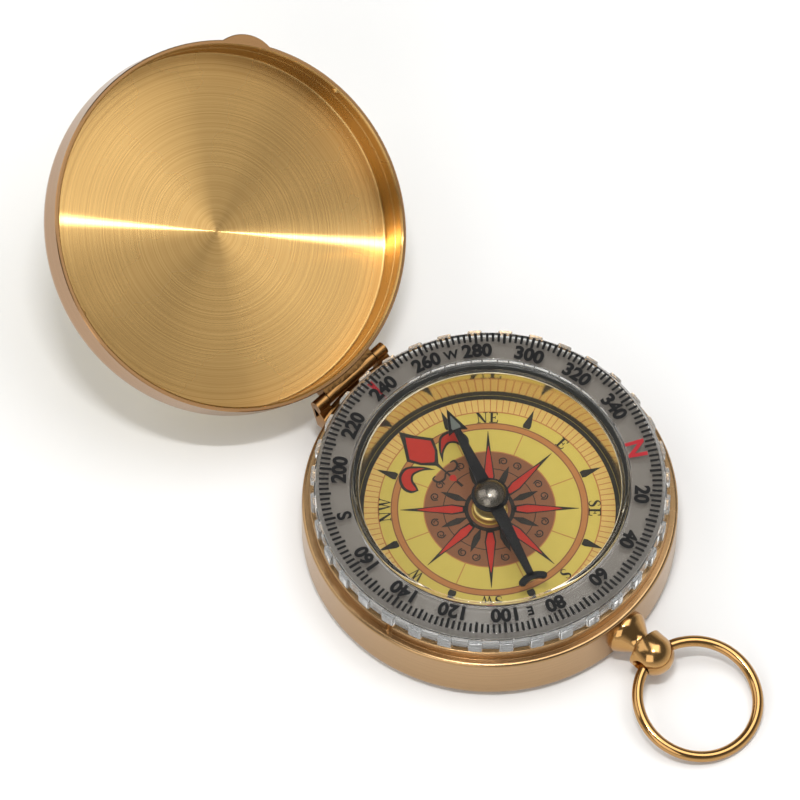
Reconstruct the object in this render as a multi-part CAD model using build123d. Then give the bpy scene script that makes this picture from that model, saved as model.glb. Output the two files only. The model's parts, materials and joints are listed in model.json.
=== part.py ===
"""Pocket compass in a round hinged brass case, lying open on its bottom face.

Millimetres, +Z up, origin at the centre of the case's bottom face.
The hinge is at the back (+Y) and the pendant stem at the front (-Y).
"""
import math
import os

from build123d import *

# Case: a drawn cup with a shoulder, and a neck that the lid goes over
CASE_DIAMETER = 50.0
CASE_HEIGHT = 8.2
CASE_WALL = 0.9
CASE_FLOOR = 0.9
CASE_BOTTOM_ROUND = 1.5
CASE_INNER_ROUND = 0.8
NECK_HEIGHT = 1.7
NECK_WALL = 0.75

# Lid: a deeper cup with a flat turned floor, thinner at its mouth
LID_ROOM = 0.6
LID_FLOOR = 1.2
LID_WALL = 0.8
LID_MOUTH_WALL = 0.7
LID_MOUTH_HEIGHT = 2.2
LID_MOUTH_CHAMFER = 0.25
LID_EDGE_ROUND = 3.0
LID_CORNER_ROUND = 0.3
LID_LIP_REACH = 1.0
LID_LIP_WIDTH = 7.2
LID_LIP_HEIGHT = 1.3
LID_LIP_ROUND = 0.35
LID_LIP_ANGLE = -43.5
LID_OPEN_ANGLE = 150.0
LID_FIT = 0.35
SEAM_GAP = 0.1

# Snap detents at both sides, a little past a quarter turn from the hinge
DETENT_ANGLE = 100.0
DETENT_RADIUS = 0.6
DETENT_HEIGHT = 0.28
DETENT_GROOVE_DEPTH = 0.3
DETENT_RISE = 0.65

# Hinge
HINGE_RISE = 1.2
KNUCKLE_RADIUS = 0.9
KNUCKLE_WALL_GAP = 0.1
LID_KNUCKLE_WIDTH = 8.8
CASE_KNUCKLE_WIDTH = 2.0
KNUCKLE_SIDE_GAP = 0.1
LEAF_THICKNESS = 0.7
CASE_LEAF_HEIGHT = 3.4
LID_LEAF_HEIGHT = 2.6
LEAF_SETBACK = 0.2
HINGE_PIN_RADIUS = 0.45
HINGE_PIN_FIT = 0.05
HEEL_DROP = 1.8
HEEL_WIDTH = 0.8
HEEL_GAP = 0.03
KNUCKLE_LID_CLEARANCE = 0.35

# Pendant stem and bow
STEM_RISE = 0.1
STEM_FOOT_RADIUS = 3.05
STEM_FOOT_BAND = 0.5
STEM_CONE_LENGTH = 2.0
STEM_NECK_RADIUS = 1.65
STEM_NECK_LENGTH = 0.4
STEM_FLARE_LENGTH = 0.5
STEM_HEAD_RADIUS = 2.8
STEM_BAND_LENGTH = 1.7
STEM_BORE_FROM_BAND = 0.2
BOW_MEAN_RADIUS = 8.1
BOW_WIRE_RADIUS = 0.75
BOW_FIT = 0.1
SCREW_SHANK_RADIUS = 0.9
SCREW_SHANK_LENGTH = 3.6
SCREW_HEAD_RADIUS = 1.55
SCREW_HEAD_HEIGHT = 1.1
SCREW_HEAD_ROUND = 0.5
SCREW_SLOT_WIDTH = 0.45
SCREW_SLOT_DEPTH = 0.5
SCREW_FIT = 0.05

# Bezel
BEZEL_LID_GAP = 0.3
BEZEL_FACE_WIDTH = 4.65
BEZEL_SKIRT_WALL = 0.5
BEZEL_HEIGHT = 3.3
BEZEL_TOP_WALL = 1.2
BEZEL_BEVEL_WIDTH = 0.6
BEZEL_BEVEL_DROP = 0.9
BEZEL_TAB_COUNT = 36
BEZEL_TAB_REACH = 0.5
BEZEL_TAB_WIDTH = 1.9
BEZEL_TAB_DROP = 0.2
BEZEL_TAB_ROUND = 0.2
BEZEL_ZERO_ANGLE = -31.0
BEZEL_LIP_HEIGHT = 1.2
BEZEL_LIP_REACH = 0.5
BEZEL_FIT = 0.08
BEZEL_RUN = 0.1

# Index plate and crystal
INDEX_THICKNESS = 0.5
INDEX_LIFT = 0.15
INDEX_EDGE_GAP = 0.15
CRYSTAL_SETBACK = 0.1
CRYSTAL_PLATE = 1.4
CRYSTAL_WALL = 0.9
CRYSTAL_EDGE_ROUND = 0.5
CRYSTAL_SIDE_GAP = 0.15
BEZEL_CRYSTAL_GAP = 0.25

# Dial, its well and the moulded carrier
WELL_DEPTH = 6.0
DIAL_THICKNESS = 0.3
WELL_SETBACK = 0.6
WELL_WALL = 0.5
CARRIER_FLOOR = 1.1
CARRIER_WALL = 1.0
CARRIER_SKIRT_SETBACK = 0.77
CARRIER_WEB = 1.1
CARRIER_FLANGE = 1.2
CARRIER_BOSS_RADIUS = 2.4
CARRIER_RISE = 0.1
SEAT_GAP = 0.05

# Needle and pivot
PIVOT_SEAT_RADIUS = 2.3
PIVOT_SEAT_HEIGHT = 1.1
PIVOT_SEAT_ROUND = 0.4
PIVOT_SHANK_RADIUS = 1.0
PIVOT_FLOOR_GAP = 1.1
PIVOT_PIN_RADIUS = 0.35
PIVOT_BLIND_WALL = 0.8
PIVOT_POINT_LENGTH = 0.8
NEEDLE_THICKNESS = 0.3
NEEDLE_ANGLE = 68.0
NEEDLE_TIP_ROOM = 3.2
NEEDLE_TAIL_ROOM = 3.5
NEEDLE_HEAD_LENGTH = 3.3
NEEDLE_HEAD_WIDTH = 2.7
NEEDLE_BARB = 0.5
NEEDLE_ROOT_WIDTH = 2.0
NEEDLE_END_WIDTH = 0.9
NEEDLE_HUB_RADIUS = 2.5
NEEDLE_FLUKE_WIDTH = 4.2
NEEDLE_FLUKE_BAR = 1.0
NEEDLE_FLUKE_RADIUS = 2.6
CAP_RADIUS = 2.1
CAP_HEIGHT = 1.4
CAP_CRYSTAL_GAP = 1.0
CAP_BRIM = 0.3
CAP_TUBE_RADIUS = 1.2
CAP_TUBE_DROP = 0.4
CAP_BORE_RADIUS = 0.8
CAP_CROWN = 0.5
CAP_FIT = 0.02
JEWEL_HEIGHT = 0.7
JEWEL_CUP_DEPTH = 0.5
JEWEL_CUP_RADIUS = 0.5
JEWEL_POINT_GAP = 0.05

# Radii that follow from the sizes above, from the case inwards
case_r = CASE_DIAMETER / 2
case_inner_r = case_r - CASE_WALL
lid_mouth_r = case_r - LID_MOUTH_WALL
neck_r = lid_mouth_r - LID_FIT
neck_inner_r = neck_r - NECK_WALL
lid_wall_r = case_r - LID_WALL
bezel_tip_r = lid_wall_r - BEZEL_LID_GAP
bezel_skirt_r = bezel_tip_r - BEZEL_TAB_REACH
bezel_inner_r = bezel_skirt_r - BEZEL_SKIRT_WALL
bezel_lip_r = bezel_inner_r - BEZEL_LIP_REACH
pilot_r = bezel_lip_r - BEZEL_FIT
bezel_hole_r = bezel_skirt_r - BEZEL_FACE_WIDTH
crystal_r = bezel_hole_r - BEZEL_CRYSTAL_GAP
well_outer_r = crystal_r - WELL_SETBACK
well_r = well_outer_r - WELL_WALL
carrier_well_r = well_outer_r + SEAT_GAP
needle_tip = well_r - NEEDLE_TIP_ROOM
needle_tail = well_r - NEEDLE_TAIL_ROOM

# Levels, from the case upwards and from the crystal down to the dial
neck_top = CASE_HEIGHT + NECK_HEIGHT
flange_top = neck_top + CARRIER_RISE
bezel_bottom = flange_top + BEZEL_RUN
bezel_lip_top = bezel_bottom + BEZEL_LIP_HEIGHT
bezel_top = bezel_bottom + BEZEL_HEIGHT
plate_level = bezel_lip_top + INDEX_LIFT
crystal_top = bezel_top - CRYSTAL_SETBACK
crystal_under = crystal_top - CRYSTAL_PLATE
cap_top = crystal_under - CAP_CRYSTAL_GAP
needle_top = cap_top - CAP_HEIGHT
needle_level = needle_top - NEEDLE_THICKNESS
jewel_top = cap_top - CAP_CROWN
jewel_apex = jewel_top - JEWEL_HEIGHT + JEWEL_CUP_DEPTH
dial_level = plate_level - WELL_DEPTH
dial_floor = dial_level - DIAL_THICKNESS
pivot_shank_low = CASE_FLOOR + PIVOT_FLOOR_GAP
pivot_pin_low = pivot_shank_low + PIVOT_BLIND_WALL
lid_mouth_level = CASE_HEIGHT + SEAM_GAP
lid_floor_level = bezel_top + LID_ROOM
lid_face_level = lid_floor_level + LID_FLOOR

# Hinge axis at the back, stem and bow at the front
hinge_y = case_r + KNUCKLE_WALL_GAP + KNUCKLE_RADIUS
hinge_z = CASE_HEIGHT + HINGE_RISE
hinge_axis = Axis((0, hinge_y, hinge_z), (1, 0, 0))
detent_turns = (90 - DETENT_ANGLE, 90 + DETENT_ANGLE)
stem_level = CASE_HEIGHT / 2 + STEM_RISE
stem_band_start = case_r + STEM_FOOT_BAND + STEM_CONE_LENGTH + STEM_NECK_LENGTH + STEM_FLARE_LENGTH
stem_band_end = stem_band_start + STEM_BAND_LENGTH
stem_tip = stem_band_end + STEM_HEAD_RADIUS
bow_y = -(stem_band_end + STEM_BORE_FROM_BAND)
bow_axis = Axis((0, bow_y, stem_level), (1, 0, 0))
bow_droop = math.degrees(math.asin((stem_level - BOW_WIRE_RADIUS) / (2 * BOW_MEAN_RADIUS)))


def turned(corners):
    """Solid of revolution about Z from corners (radius, level) or (radius, level, rounding)."""
    points = [(corner[0], corner[1]) for corner in corners]
    rounds = [corner[2] if len(corner) > 2 else 0 for corner in corners]
    outline = Plane.XZ * FilletPolyline(*points, radius=rounds, close=True)
    return revolve(make_face(outline), Axis.Z)


def disc(radius, low, high):
    """Plain cylinder about Z between two levels."""
    return Pos(0, 0, low) * Cylinder(radius, high - low, align=(Align.CENTER, Align.CENTER, Align.MIN))


def opened(piece):
    """Swing a lid piece from the closed place to the open one."""
    return piece.rotate(hinge_axis, -LID_OPEN_ANGLE)


def across_x(profile, low, high):
    """Extrude a Y-Z profile along X from low to high."""
    return Pos(low, 0, 0) * extrude(Plane.YZ * profile, high - low)


def x_rod(radius, low, high):
    """Cylinder on the hinge axis between two X values."""
    rod = Cylinder(radius, high - low, rotation=(0, 90, 0), align=(Align.CENTER, Align.CENTER, Align.MIN))
    return Pos(low, hinge_y, hinge_z) * rod


def make_base_case():
    step_level = CASE_HEIGHT - CASE_WALL
    shell = turned([
        (0, 0),
        (case_r, 0, CASE_BOTTOM_ROUND),
        (case_r, CASE_HEIGHT),
        (neck_r, CASE_HEIGHT),
        (neck_r, neck_top),
        (neck_inner_r, neck_top),
        (neck_inner_r, step_level),
        (case_inner_r, step_level),
        (case_inner_r, CASE_FLOOR, CASE_INNER_ROUND),
        (0, CASE_FLOOR),
    ])
    groove_x = neck_r + DETENT_RADIUS - DETENT_GROOVE_DEPTH
    groove = Pos(groove_x, 0, 0) * disc(DETENT_RADIUS, CASE_HEIGHT, neck_top + SEAM_GAP)
    for turn in detent_turns:
        shell -= groove.rotate(Axis.Z, turn)
    hole = Cylinder(SCREW_SHANK_RADIUS + SCREW_FIT, 2 * CASE_WALL, rotation=(90, 0, 0))
    return shell - Pos(0, -(case_r - CASE_WALL / 2), stem_level) * hole


def make_lid_shell():
    mouth_top = lid_mouth_level + LID_MOUTH_HEIGHT
    shell = turned([
        (0, lid_face_level),
        (case_r, lid_face_level, LID_EDGE_ROUND),
        (case_r, lid_mouth_level),
        (lid_mouth_r + LID_MOUTH_CHAMFER, lid_mouth_level),
        (lid_mouth_r, lid_mouth_level + LID_MOUTH_CHAMFER),
        (lid_mouth_r, mouth_top),
        (lid_wall_r, mouth_top),
        (lid_wall_r, lid_floor_level, LID_CORNER_ROUND),
        (0, lid_floor_level),
    ])
    half_width = LID_LIP_WIDTH / 2
    lip_r = 1 / (2 * LID_LIP_REACH / half_width ** 2 + 1 / case_r)
    lip_top = lid_mouth_level + LID_LIP_HEIGHT
    lip = Pos(case_r + LID_LIP_REACH - lip_r, 0, 0) * disc(lip_r, lid_mouth_level, lip_top)
    lip = fillet(lip.edges().group_by(Axis.Z)[-1], LID_LIP_ROUND)
    wall_middle = (case_r + lid_mouth_r) / 2
    lip -= disc(wall_middle, lid_mouth_level - SEAM_GAP, lid_face_level)
    shell += lip.rotate(Axis.Z, LID_LIP_ANGLE)
    bump_x = lid_mouth_r + DETENT_RADIUS - DETENT_HEIGHT
    bump = Pos(bump_x, 0, lid_mouth_level + DETENT_RISE) * Sphere(DETENT_RADIUS)
    bump &= disc(wall_middle, lid_mouth_level, lid_face_level)
    for turn in detent_turns:
        shell += bump.rotate(Axis.Z, turn)
    return opened(shell)


def wall_leaf(width, low, high):
    """Curved plate that hugs the wall at the back of the case."""
    ring = disc(case_r + LEAF_THICKNESS, low, high) - disc(case_r, low, high)
    depth = 2 * (hinge_y - case_r + LEAF_THICKNESS)
    return ring & Pos(0, hinge_y, low) * Box(width, depth, 2 * (high - low))


def make_case_hinge_leaf():
    inner = LID_KNUCKLE_WIDTH / 2 + KNUCKLE_SIDE_GAP
    outer = inner + CASE_KNUCKLE_WIDTH
    leaf_top = CASE_HEIGHT - LEAF_SETBACK
    leaf_low = leaf_top - CASE_LEAF_HEIGHT
    leaf = wall_leaf(2 * outer, leaf_low, leaf_top)
    arm = make_face(Polyline(
        (case_inner_r, leaf_low + LEAF_THICKNESS),
        (case_r + LEAF_THICKNESS, leaf_low + LEAF_THICKNESS),
        (hinge_y + KNUCKLE_RADIUS, hinge_z),
        (hinge_y, hinge_z),
        (case_inner_r, leaf_top),
        close=True,
    ))
    lid_path = disc(case_r + KNUCKLE_LID_CLEARANCE, leaf_top, lid_face_level)
    wall = disc(case_r, 0, leaf_top)
    for low, high in ((-outer, -inner), (inner, outer)):
        bracket = across_x(arm, low, high) - wall - lid_path
        leaf += bracket + x_rod(KNUCKLE_RADIUS, low, high)
    return leaf - x_rod(HINGE_PIN_RADIUS, -outer, outer)


def make_lid_hinge_leaf():
    half = LID_KNUCKLE_WIDTH / 2
    leaf_low = lid_mouth_level + LEAF_SETBACK
    leaf = wall_leaf(LID_KNUCKLE_WIDTH, leaf_low, leaf_low + LID_LEAF_HEIGHT)
    knuckle = x_rod(KNUCKLE_RADIUS, -half, half)
    web = make_face(Polyline(
        (case_r, hinge_z),
        (hinge_y, hinge_z),
        (hinge_y, hinge_z + KNUCKLE_RADIUS),
        (case_r + LEAF_THICKNESS, leaf_low + LID_LEAF_HEIGHT),
        (case_r, leaf_low + LID_LEAF_HEIGHT),
        close=True,
    ))
    bridge = across_x(web, -half, half) - disc(case_r, leaf_low, lid_face_level)
    closed_leaf = leaf + bridge + knuckle
    # The heel meets the case's leaf when the lid is open, so it is drawn in that place
    heel_face_y = case_r + LEAF_THICKNESS + HEEL_GAP
    heel = make_face(Polyline(
        (heel_face_y, hinge_z),
        (heel_face_y, hinge_z - HEEL_DROP),
        (heel_face_y + HEEL_WIDTH, hinge_z - HEEL_DROP),
        (hinge_y + KNUCKLE_RADIUS / 2, hinge_z),
        close=True,
    ))
    piece = opened(closed_leaf) + across_x(heel, -half, half)
    return piece - x_rod(HINGE_PIN_RADIUS + HINGE_PIN_FIT, -half, half)


def make_hinge_pin():
    reach = LID_KNUCKLE_WIDTH / 2 + KNUCKLE_SIDE_GAP + CASE_KNUCKLE_WIDTH
    return x_rod(HINGE_PIN_RADIUS, -reach, reach)


def along_stem(piece):
    """Turn a piece drawn along +Z so that it lies along -Y at the stem's level."""
    return Pos(0, 0, stem_level) * Rot(90, 0, 0) * piece


def make_pendant_stem():
    foot_end = case_r + STEM_FOOT_BAND
    cone_end = foot_end + STEM_CONE_LENGTH
    neck_end = cone_end + STEM_NECK_LENGTH
    outline = Polyline(
        (STEM_HEAD_RADIUS, stem_band_end),
        (STEM_HEAD_RADIUS, stem_band_start),
        (STEM_NECK_RADIUS, neck_end),
        (STEM_NECK_RADIUS, cone_end),
        (STEM_FOOT_RADIUS, foot_end),
        (STEM_FOOT_RADIUS, case_inner_r),
        (0, case_inner_r),
        (0, stem_tip),
    )
    dome = CenterArc((0, stem_band_end), STEM_HEAD_RADIUS, 0, 90)
    stem = along_stem(revolve(make_face(Plane.XZ * (outline + dome)), Axis.Z))
    stem -= disc(case_r, 0, CASE_HEIGHT + STEM_FOOT_RADIUS)
    tapped_end = case_inner_r + SCREW_SHANK_LENGTH
    stem -= along_stem(disc(SCREW_SHANK_RADIUS, case_inner_r, tapped_end + SCREW_FIT))
    return stem - make_bow_passage()


def make_bow_passage():
    """Bell-mouthed bore that follows the bow's curve, so the bow can swing in it."""
    throat = BOW_WIRE_RADIUS + BOW_FIT
    reach = STEM_HEAD_RADIUS + BOW_FIT
    mouth = throat + BOW_MEAN_RADIUS - math.sqrt(BOW_MEAN_RADIUS ** 2 - reach ** 2)
    flare = ThreePointArc((-reach, mouth), (0, throat), (reach, mouth))
    sides = Polyline((reach, mouth), (reach, 0), (-reach, 0), (-reach, mouth))
    bore = revolve(make_face(flare + sides), Axis.X)
    return Pos(0, bow_y, stem_level) * bore


def make_pendant_screw():
    seat = math.sqrt(case_inner_r ** 2 - SCREW_HEAD_RADIUS ** 2)
    head_end = seat - SCREW_HEAD_HEIGHT
    tip = case_inner_r + SCREW_SHANK_LENGTH
    screw = turned([
        (0, head_end),
        (SCREW_HEAD_RADIUS, head_end, SCREW_HEAD_ROUND),
        (SCREW_HEAD_RADIUS, seat),
        (SCREW_SHANK_RADIUS, seat),
        (SCREW_SHANK_RADIUS, tip),
        (0, tip),
    ])
    slot = Box(2 * SCREW_HEAD_RADIUS, SCREW_SLOT_WIDTH, 2 * SCREW_SLOT_DEPTH)
    return along_stem(screw - Pos(0, 0, head_end) * slot)


def make_bow_ring():
    ring = Pos(0, bow_y - BOW_MEAN_RADIUS, stem_level) * Torus(BOW_MEAN_RADIUS, BOW_WIRE_RADIUS)
    return ring.rotate(bow_axis, bow_droop)


def make_bezel_ring():
    under_top = bezel_top - BEZEL_TOP_WALL
    bevel_low = bezel_top - BEZEL_BEVEL_DROP
    ring = turned([
        (bezel_hole_r, bezel_top),
        (bezel_skirt_r - BEZEL_BEVEL_WIDTH, bezel_top),
        (bezel_skirt_r, bevel_low),
        (bezel_skirt_r, bezel_bottom),
        (bezel_lip_r, bezel_bottom),
        (bezel_lip_r, bezel_lip_top),
        (bezel_inner_r, bezel_lip_top),
        (bezel_inner_r, under_top),
        (bezel_hole_r, under_top),
    ])
    tab_top = bevel_low - BEZEL_TAB_DROP
    tab_height = tab_top - bezel_bottom
    tab_length = BEZEL_TAB_REACH + BEZEL_SKIRT_WALL / 2
    tab = Box(tab_length, BEZEL_TAB_WIDTH, tab_height, align=(Align.MAX, Align.CENTER, Align.MIN))
    tab = fillet(tab.edges().filter_by(Axis.Z).group_by(Axis.X)[-1], BEZEL_TAB_ROUND)
    spots = PolarLocations(bezel_tip_r, BEZEL_TAB_COUNT, start_angle=BEZEL_ZERO_ANGLE)
    return ring + [Pos(0, 0, bezel_bottom) * spot * tab for spot in spots]


def make_index_plate():
    inner = crystal_r + CRYSTAL_SIDE_GAP
    outer = bezel_inner_r - INDEX_EDGE_GAP
    top = plate_level + INDEX_THICKNESS
    return disc(outer, plate_level, top) - disc(inner, plate_level, top)


def make_crystal():
    inner = crystal_r - CRYSTAL_WALL
    return turned([
        (0, crystal_top),
        (crystal_r, crystal_top, CRYSTAL_EDGE_ROUND),
        (crystal_r, plate_level),
        (inner, plate_level),
        (inner, crystal_under),
        (0, crystal_under),
    ])


def make_well_ring():
    return disc(well_outer_r, dial_level, plate_level) - disc(well_r, dial_level, plate_level)


def make_dial_card():
    return disc(well_outer_r, dial_floor, dial_level) - disc(PIVOT_SHANK_RADIUS, dial_floor, dial_level)


def make_dial_carrier():
    floor_low = dial_floor - CARRIER_FLOOR
    inner_wall_r = carrier_well_r + CARRIER_WALL
    skirt_outer_r = pilot_r - CARRIER_SKIRT_SETBACK
    skirt_inner_r = skirt_outer_r - CARRIER_WALL
    web_low = plate_level - CARRIER_WEB
    flange_r = neck_inner_r - SEAT_GAP
    return turned([
        (PIVOT_SHANK_RADIUS, CASE_FLOOR),
        (CARRIER_BOSS_RADIUS, CASE_FLOOR),
        (CARRIER_BOSS_RADIUS, floor_low),
        (inner_wall_r, floor_low),
        (inner_wall_r, web_low),
        (skirt_inner_r, web_low),
        (skirt_inner_r, CASE_FLOOR),
        (skirt_outer_r, CASE_FLOOR),
        (skirt_outer_r, flange_top - CARRIER_FLANGE),
        (flange_r, flange_top - CARRIER_FLANGE),
        (flange_r, flange_top),
        (pilot_r, flange_top),
        (pilot_r, plate_level),
        (carrier_well_r, plate_level),
        (carrier_well_r, dial_floor),
        (PIVOT_SHANK_RADIUS, dial_floor),
    ])


def make_pivot_seat():
    top = dial_level + PIVOT_SEAT_HEIGHT
    return turned([
        (PIVOT_PIN_RADIUS, top),
        (PIVOT_SEAT_RADIUS, top, PIVOT_SEAT_ROUND),
        (PIVOT_SEAT_RADIUS, dial_level),
        (PIVOT_SHANK_RADIUS, dial_level),
        (PIVOT_SHANK_RADIUS, pivot_shank_low),
        (0, pivot_shank_low),
        (0, pivot_pin_low),
        (PIVOT_PIN_RADIUS, pivot_pin_low),
    ])


def make_pivot_pin():
    point = jewel_apex - JEWEL_POINT_GAP
    return turned([
        (0, pivot_pin_low),
        (PIVOT_PIN_RADIUS, pivot_pin_low),
        (PIVOT_PIN_RADIUS, point - PIVOT_POINT_LENGTH),
        (0, point),
    ])


def make_needle_blade():
    head_base = needle_tip - NEEDLE_HEAD_LENGTH
    half_head = NEEDLE_HEAD_WIDTH / 2
    half_root = NEEDLE_ROOT_WIDTH / 2
    half_end = NEEDLE_END_WIDTH / 2
    arrow = make_face(Polyline(
        (0, needle_tip),
        (half_head, head_base - NEEDLE_BARB),
        (half_end, head_base),
        (half_root, 0),
        (-half_root, 0),
        (-half_end, head_base),
        (-half_head, head_base - NEEDLE_BARB),
        close=True,
    ))
    fluke_middle = needle_tail - NEEDLE_FLUKE_BAR / 2
    shaft = make_face(Polyline(
        (half_root, 0),
        (half_end, -fluke_middle),
        (-half_end, -fluke_middle),
        (-half_root, 0),
        close=True,
    ))
    # The fluke is a crescent: a bar bent round a point outside the tail, with round ends
    bend = math.degrees(math.asin(NEEDLE_FLUKE_WIDTH / 2 / (NEEDLE_FLUKE_RADIUS + NEEDLE_FLUKE_BAR)))
    bend_centre = -(fluke_middle + NEEDLE_FLUKE_RADIUS)
    bar_arc = CenterArc((0, bend_centre), NEEDLE_FLUKE_RADIUS, 90 - bend, 2 * bend)
    fluke = SlotArc(bar_arc, NEEDLE_FLUKE_BAR)
    outline = arrow + shaft + Circle(NEEDLE_HUB_RADIUS) + fluke - Circle(CAP_TUBE_RADIUS + CAP_FIT)
    blade = Pos(0, 0, needle_level) * extrude(outline, NEEDLE_THICKNESS)
    return blade.rotate(Axis.Z, NEEDLE_ANGLE - 90)


def make_needle_cap():
    tube_low = needle_level - CAP_TUBE_DROP
    brim_top = needle_top + CAP_BRIM
    rise = cap_top - brim_top
    dome_r = (CAP_RADIUS ** 2 + rise ** 2) / (2 * rise)
    lean = math.degrees(math.asin(CAP_RADIUS / dome_r))
    dome = CenterArc((0, cap_top - dome_r), dome_r, 90 - lean, lean)
    rest = Polyline(
        (0, cap_top),
        (0, jewel_top),
        (CAP_BORE_RADIUS, jewel_top),
        (CAP_BORE_RADIUS, tube_low),
        (CAP_TUBE_RADIUS, tube_low),
        (CAP_TUBE_RADIUS, needle_top),
        (CAP_RADIUS, needle_top),
        (CAP_RADIUS, brim_top),
    )
    return revolve(make_face(Plane.XZ * (dome + rest)), Axis.Z)


def make_needle_jewel():
    low = jewel_top - JEWEL_HEIGHT
    radius = CAP_BORE_RADIUS - CAP_FIT
    return turned([
        (0, jewel_top),
        (radius, jewel_top),
        (radius, low),
        (JEWEL_CUP_RADIUS, low),
        (0, jewel_apex),
    ])


PIECES = {
    "base_case": make_base_case,
    "case_hinge_leaf": make_case_hinge_leaf,
    "hinge_pin": make_hinge_pin,
    "pendant_stem": make_pendant_stem,
    "pendant_screw": make_pendant_screw,
    "dial_carrier": make_dial_carrier,
    "dial_card": make_dial_card,
    "well_ring": make_well_ring,
    "pivot_seat": make_pivot_seat,
    "pivot_pin": make_pivot_pin,
    "index_plate": make_index_plate,
    "crystal": make_crystal,
    "bezel_ring": make_bezel_ring,
    "needle_blade": make_needle_blade,
    "needle_cap": make_needle_cap,
    "needle_jewel": make_needle_jewel,
    "lid_shell": make_lid_shell,
    "lid_hinge_leaf": make_lid_hinge_leaf,
    "bow_ring": make_bow_ring,
}

os.makedirs("parts", exist_ok=True)
for node, make in PIECES.items():
    export_step(make(), f"parts/{node}.step")
print(f"bow droop {bow_droop:.3f} deg, bow bore y {bow_y:.3f}, hinge y {hinge_y:.3f} z {hinge_z:.3f}")
print(f"bezel top {bezel_top:.3f}, plate level {plate_level:.3f}, lid face when shut {lid_face_level:.3f}")
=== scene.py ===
"""Pocket compass, lying open: surfaces, prints, finishes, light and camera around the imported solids.

Shapes are worked out in millimetres, in the solids' own frame, and go into the meshes in metres.
"""
import json
import math

import bmesh
import bpy
import numpy as np
from mathutils import Matrix


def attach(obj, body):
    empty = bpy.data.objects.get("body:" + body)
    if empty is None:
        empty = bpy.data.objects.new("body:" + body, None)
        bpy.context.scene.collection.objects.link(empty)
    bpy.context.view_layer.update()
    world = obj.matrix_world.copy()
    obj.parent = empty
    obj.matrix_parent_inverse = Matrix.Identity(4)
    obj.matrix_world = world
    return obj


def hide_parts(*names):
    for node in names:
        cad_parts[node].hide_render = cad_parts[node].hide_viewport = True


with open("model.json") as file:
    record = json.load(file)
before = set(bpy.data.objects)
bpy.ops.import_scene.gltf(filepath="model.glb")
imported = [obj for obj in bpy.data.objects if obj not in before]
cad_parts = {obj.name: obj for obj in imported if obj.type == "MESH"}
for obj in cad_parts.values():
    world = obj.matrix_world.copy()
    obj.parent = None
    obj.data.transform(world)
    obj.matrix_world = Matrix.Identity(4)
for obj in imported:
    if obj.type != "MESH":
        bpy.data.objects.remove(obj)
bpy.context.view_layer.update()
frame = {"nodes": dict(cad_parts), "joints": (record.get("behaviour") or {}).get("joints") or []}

MM = 0.001

# Meshing: nearest points in metres, steps round a turn, guard beside a round, smooth shading in degrees
MERGE = 1e-7
CUP_STEPS = 288
RING_STEPS = 240
BOW_STEPS = 200
SMALL_STEPS = 96
WIRE_STEPS = 40
GUARD = 0.03
SMOOTH_TO = 32
WIRE_SMOOTH_TO = 60
SOLID_SMOOTH_TO = 30

# Edges: rounds that several pieces share, and the bevel on the plain solids' edges
FINE_ROUND = 0.05
SMALL_ROUND = 0.08
EDGE_ROUND = 0.1
BROKEN_EDGE = 0.06
BROKEN_FROM = 40

# Case
CASE_R = 25.0
CASE_TOP = 8.2
CASE_IN = 24.1
CASE_FLOOR = 0.9
CASE_STEP = 7.3
FOOT_ROUND = 1.5
FLOOR_ROUND = 0.8
SHOULDER_ROUND = 0.45
NECK_R = 23.95
NECK_IN = 23.2
NECK_TOP = 9.9
NECK_ROOT_ROUND = 0.04
NECK_TOP_ROUND = 0.12

# Snap: bumps in the lid's mouth and grooves in the neck; spans are in degrees, DETENT_NEAR in radians
DETENT_R = 0.6
DETENT_TURNS = (-10.0, 190.0)
DETENT_SPAN = 1.6
DETENT_NEAR = 0.1
GROOVE_DEPTH = 0.3
GROOVE_STEPS = 25
GROOVE_REACH = 0.3
GROOVE_CLEAR = 0.02
BUMP_HEIGHT = 0.28
BUMP_RISE = 0.65
BUMP_STEPS = 33
BUMP_BAND = (1.3, 0.3)
BUMP_ROWS = 24
BUMP_REACH = 0.01

# Lid, in its shut place; the flare is given from the mouth's edge, and LIP_NEAR is in radians
LID_MOUTH = 8.3
LID_MOUTH_R = 24.3
LID_MOUTH_TOP = 10.5
LID_WALL_R = 24.2
LID_FLOOR = 14.0
LID_FACE = 15.2
LID_EDGE = 3.0
LID_FLOOR_ROUND = 0.3
LID_STEP_ROUND = 0.03
MOUTH_FLARE = ((0.05, 0.2), (0.25, 0.0))
RIM_BREAK = 0.12
LIP_REACH = 1.0
LIP_WIDTH = 7.2
LIP_HEIGHT = 1.3
LIP_ROUND = 0.35
LIP_TURN = -43.5
LIP_SPAN = 9.5
LIP_NEAR = 0.3
LIP_STEPS = 61
LIP_ROWS = 7

# Bezel, plate and crystal
BEZEL_LOW = 10.1
BEZEL_TOP = 13.4
BEZEL_HOLE = 18.75
BEZEL_SKIRT = 23.4
BEZEL_IN = 22.9
BEZEL_LIP = 22.4
BEZEL_LIP_TOP = 11.3
BEZEL_UNDER = 12.2
BEZEL_BEVEL = 0.6
BEZEL_BEVEL_LOW = 12.5
BEZEL_BEVEL_ROUND = 0.12
BEZEL_TOP_ROUND = 0.15
BEZEL_TURN = -31.0
SKIRT_BREAK = 0.1
TAB_COUNT = 36
TAB_REACH = 0.5
TAB_HALF = 0.95
TAB_TOP = 12.3
TAB_ROUND = 0.2
TAB_ROWS = 6
TAB_SLACK = 0.005
TAB_SPOTS = (0, 0.4, 0.7, 0.78, 0.86, 0.92, TAB_HALF, TAB_HALF + 0.03, 1.4)
PLATE_LOW = 11.45
PLATE_TOP = 11.95
PLATE_IN = 18.65
PLATE_OUT = 22.75
CRYSTAL_R = 18.5
CRYSTAL_TOP = 13.3
CRYSTAL_ROUND = 0.5
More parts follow.
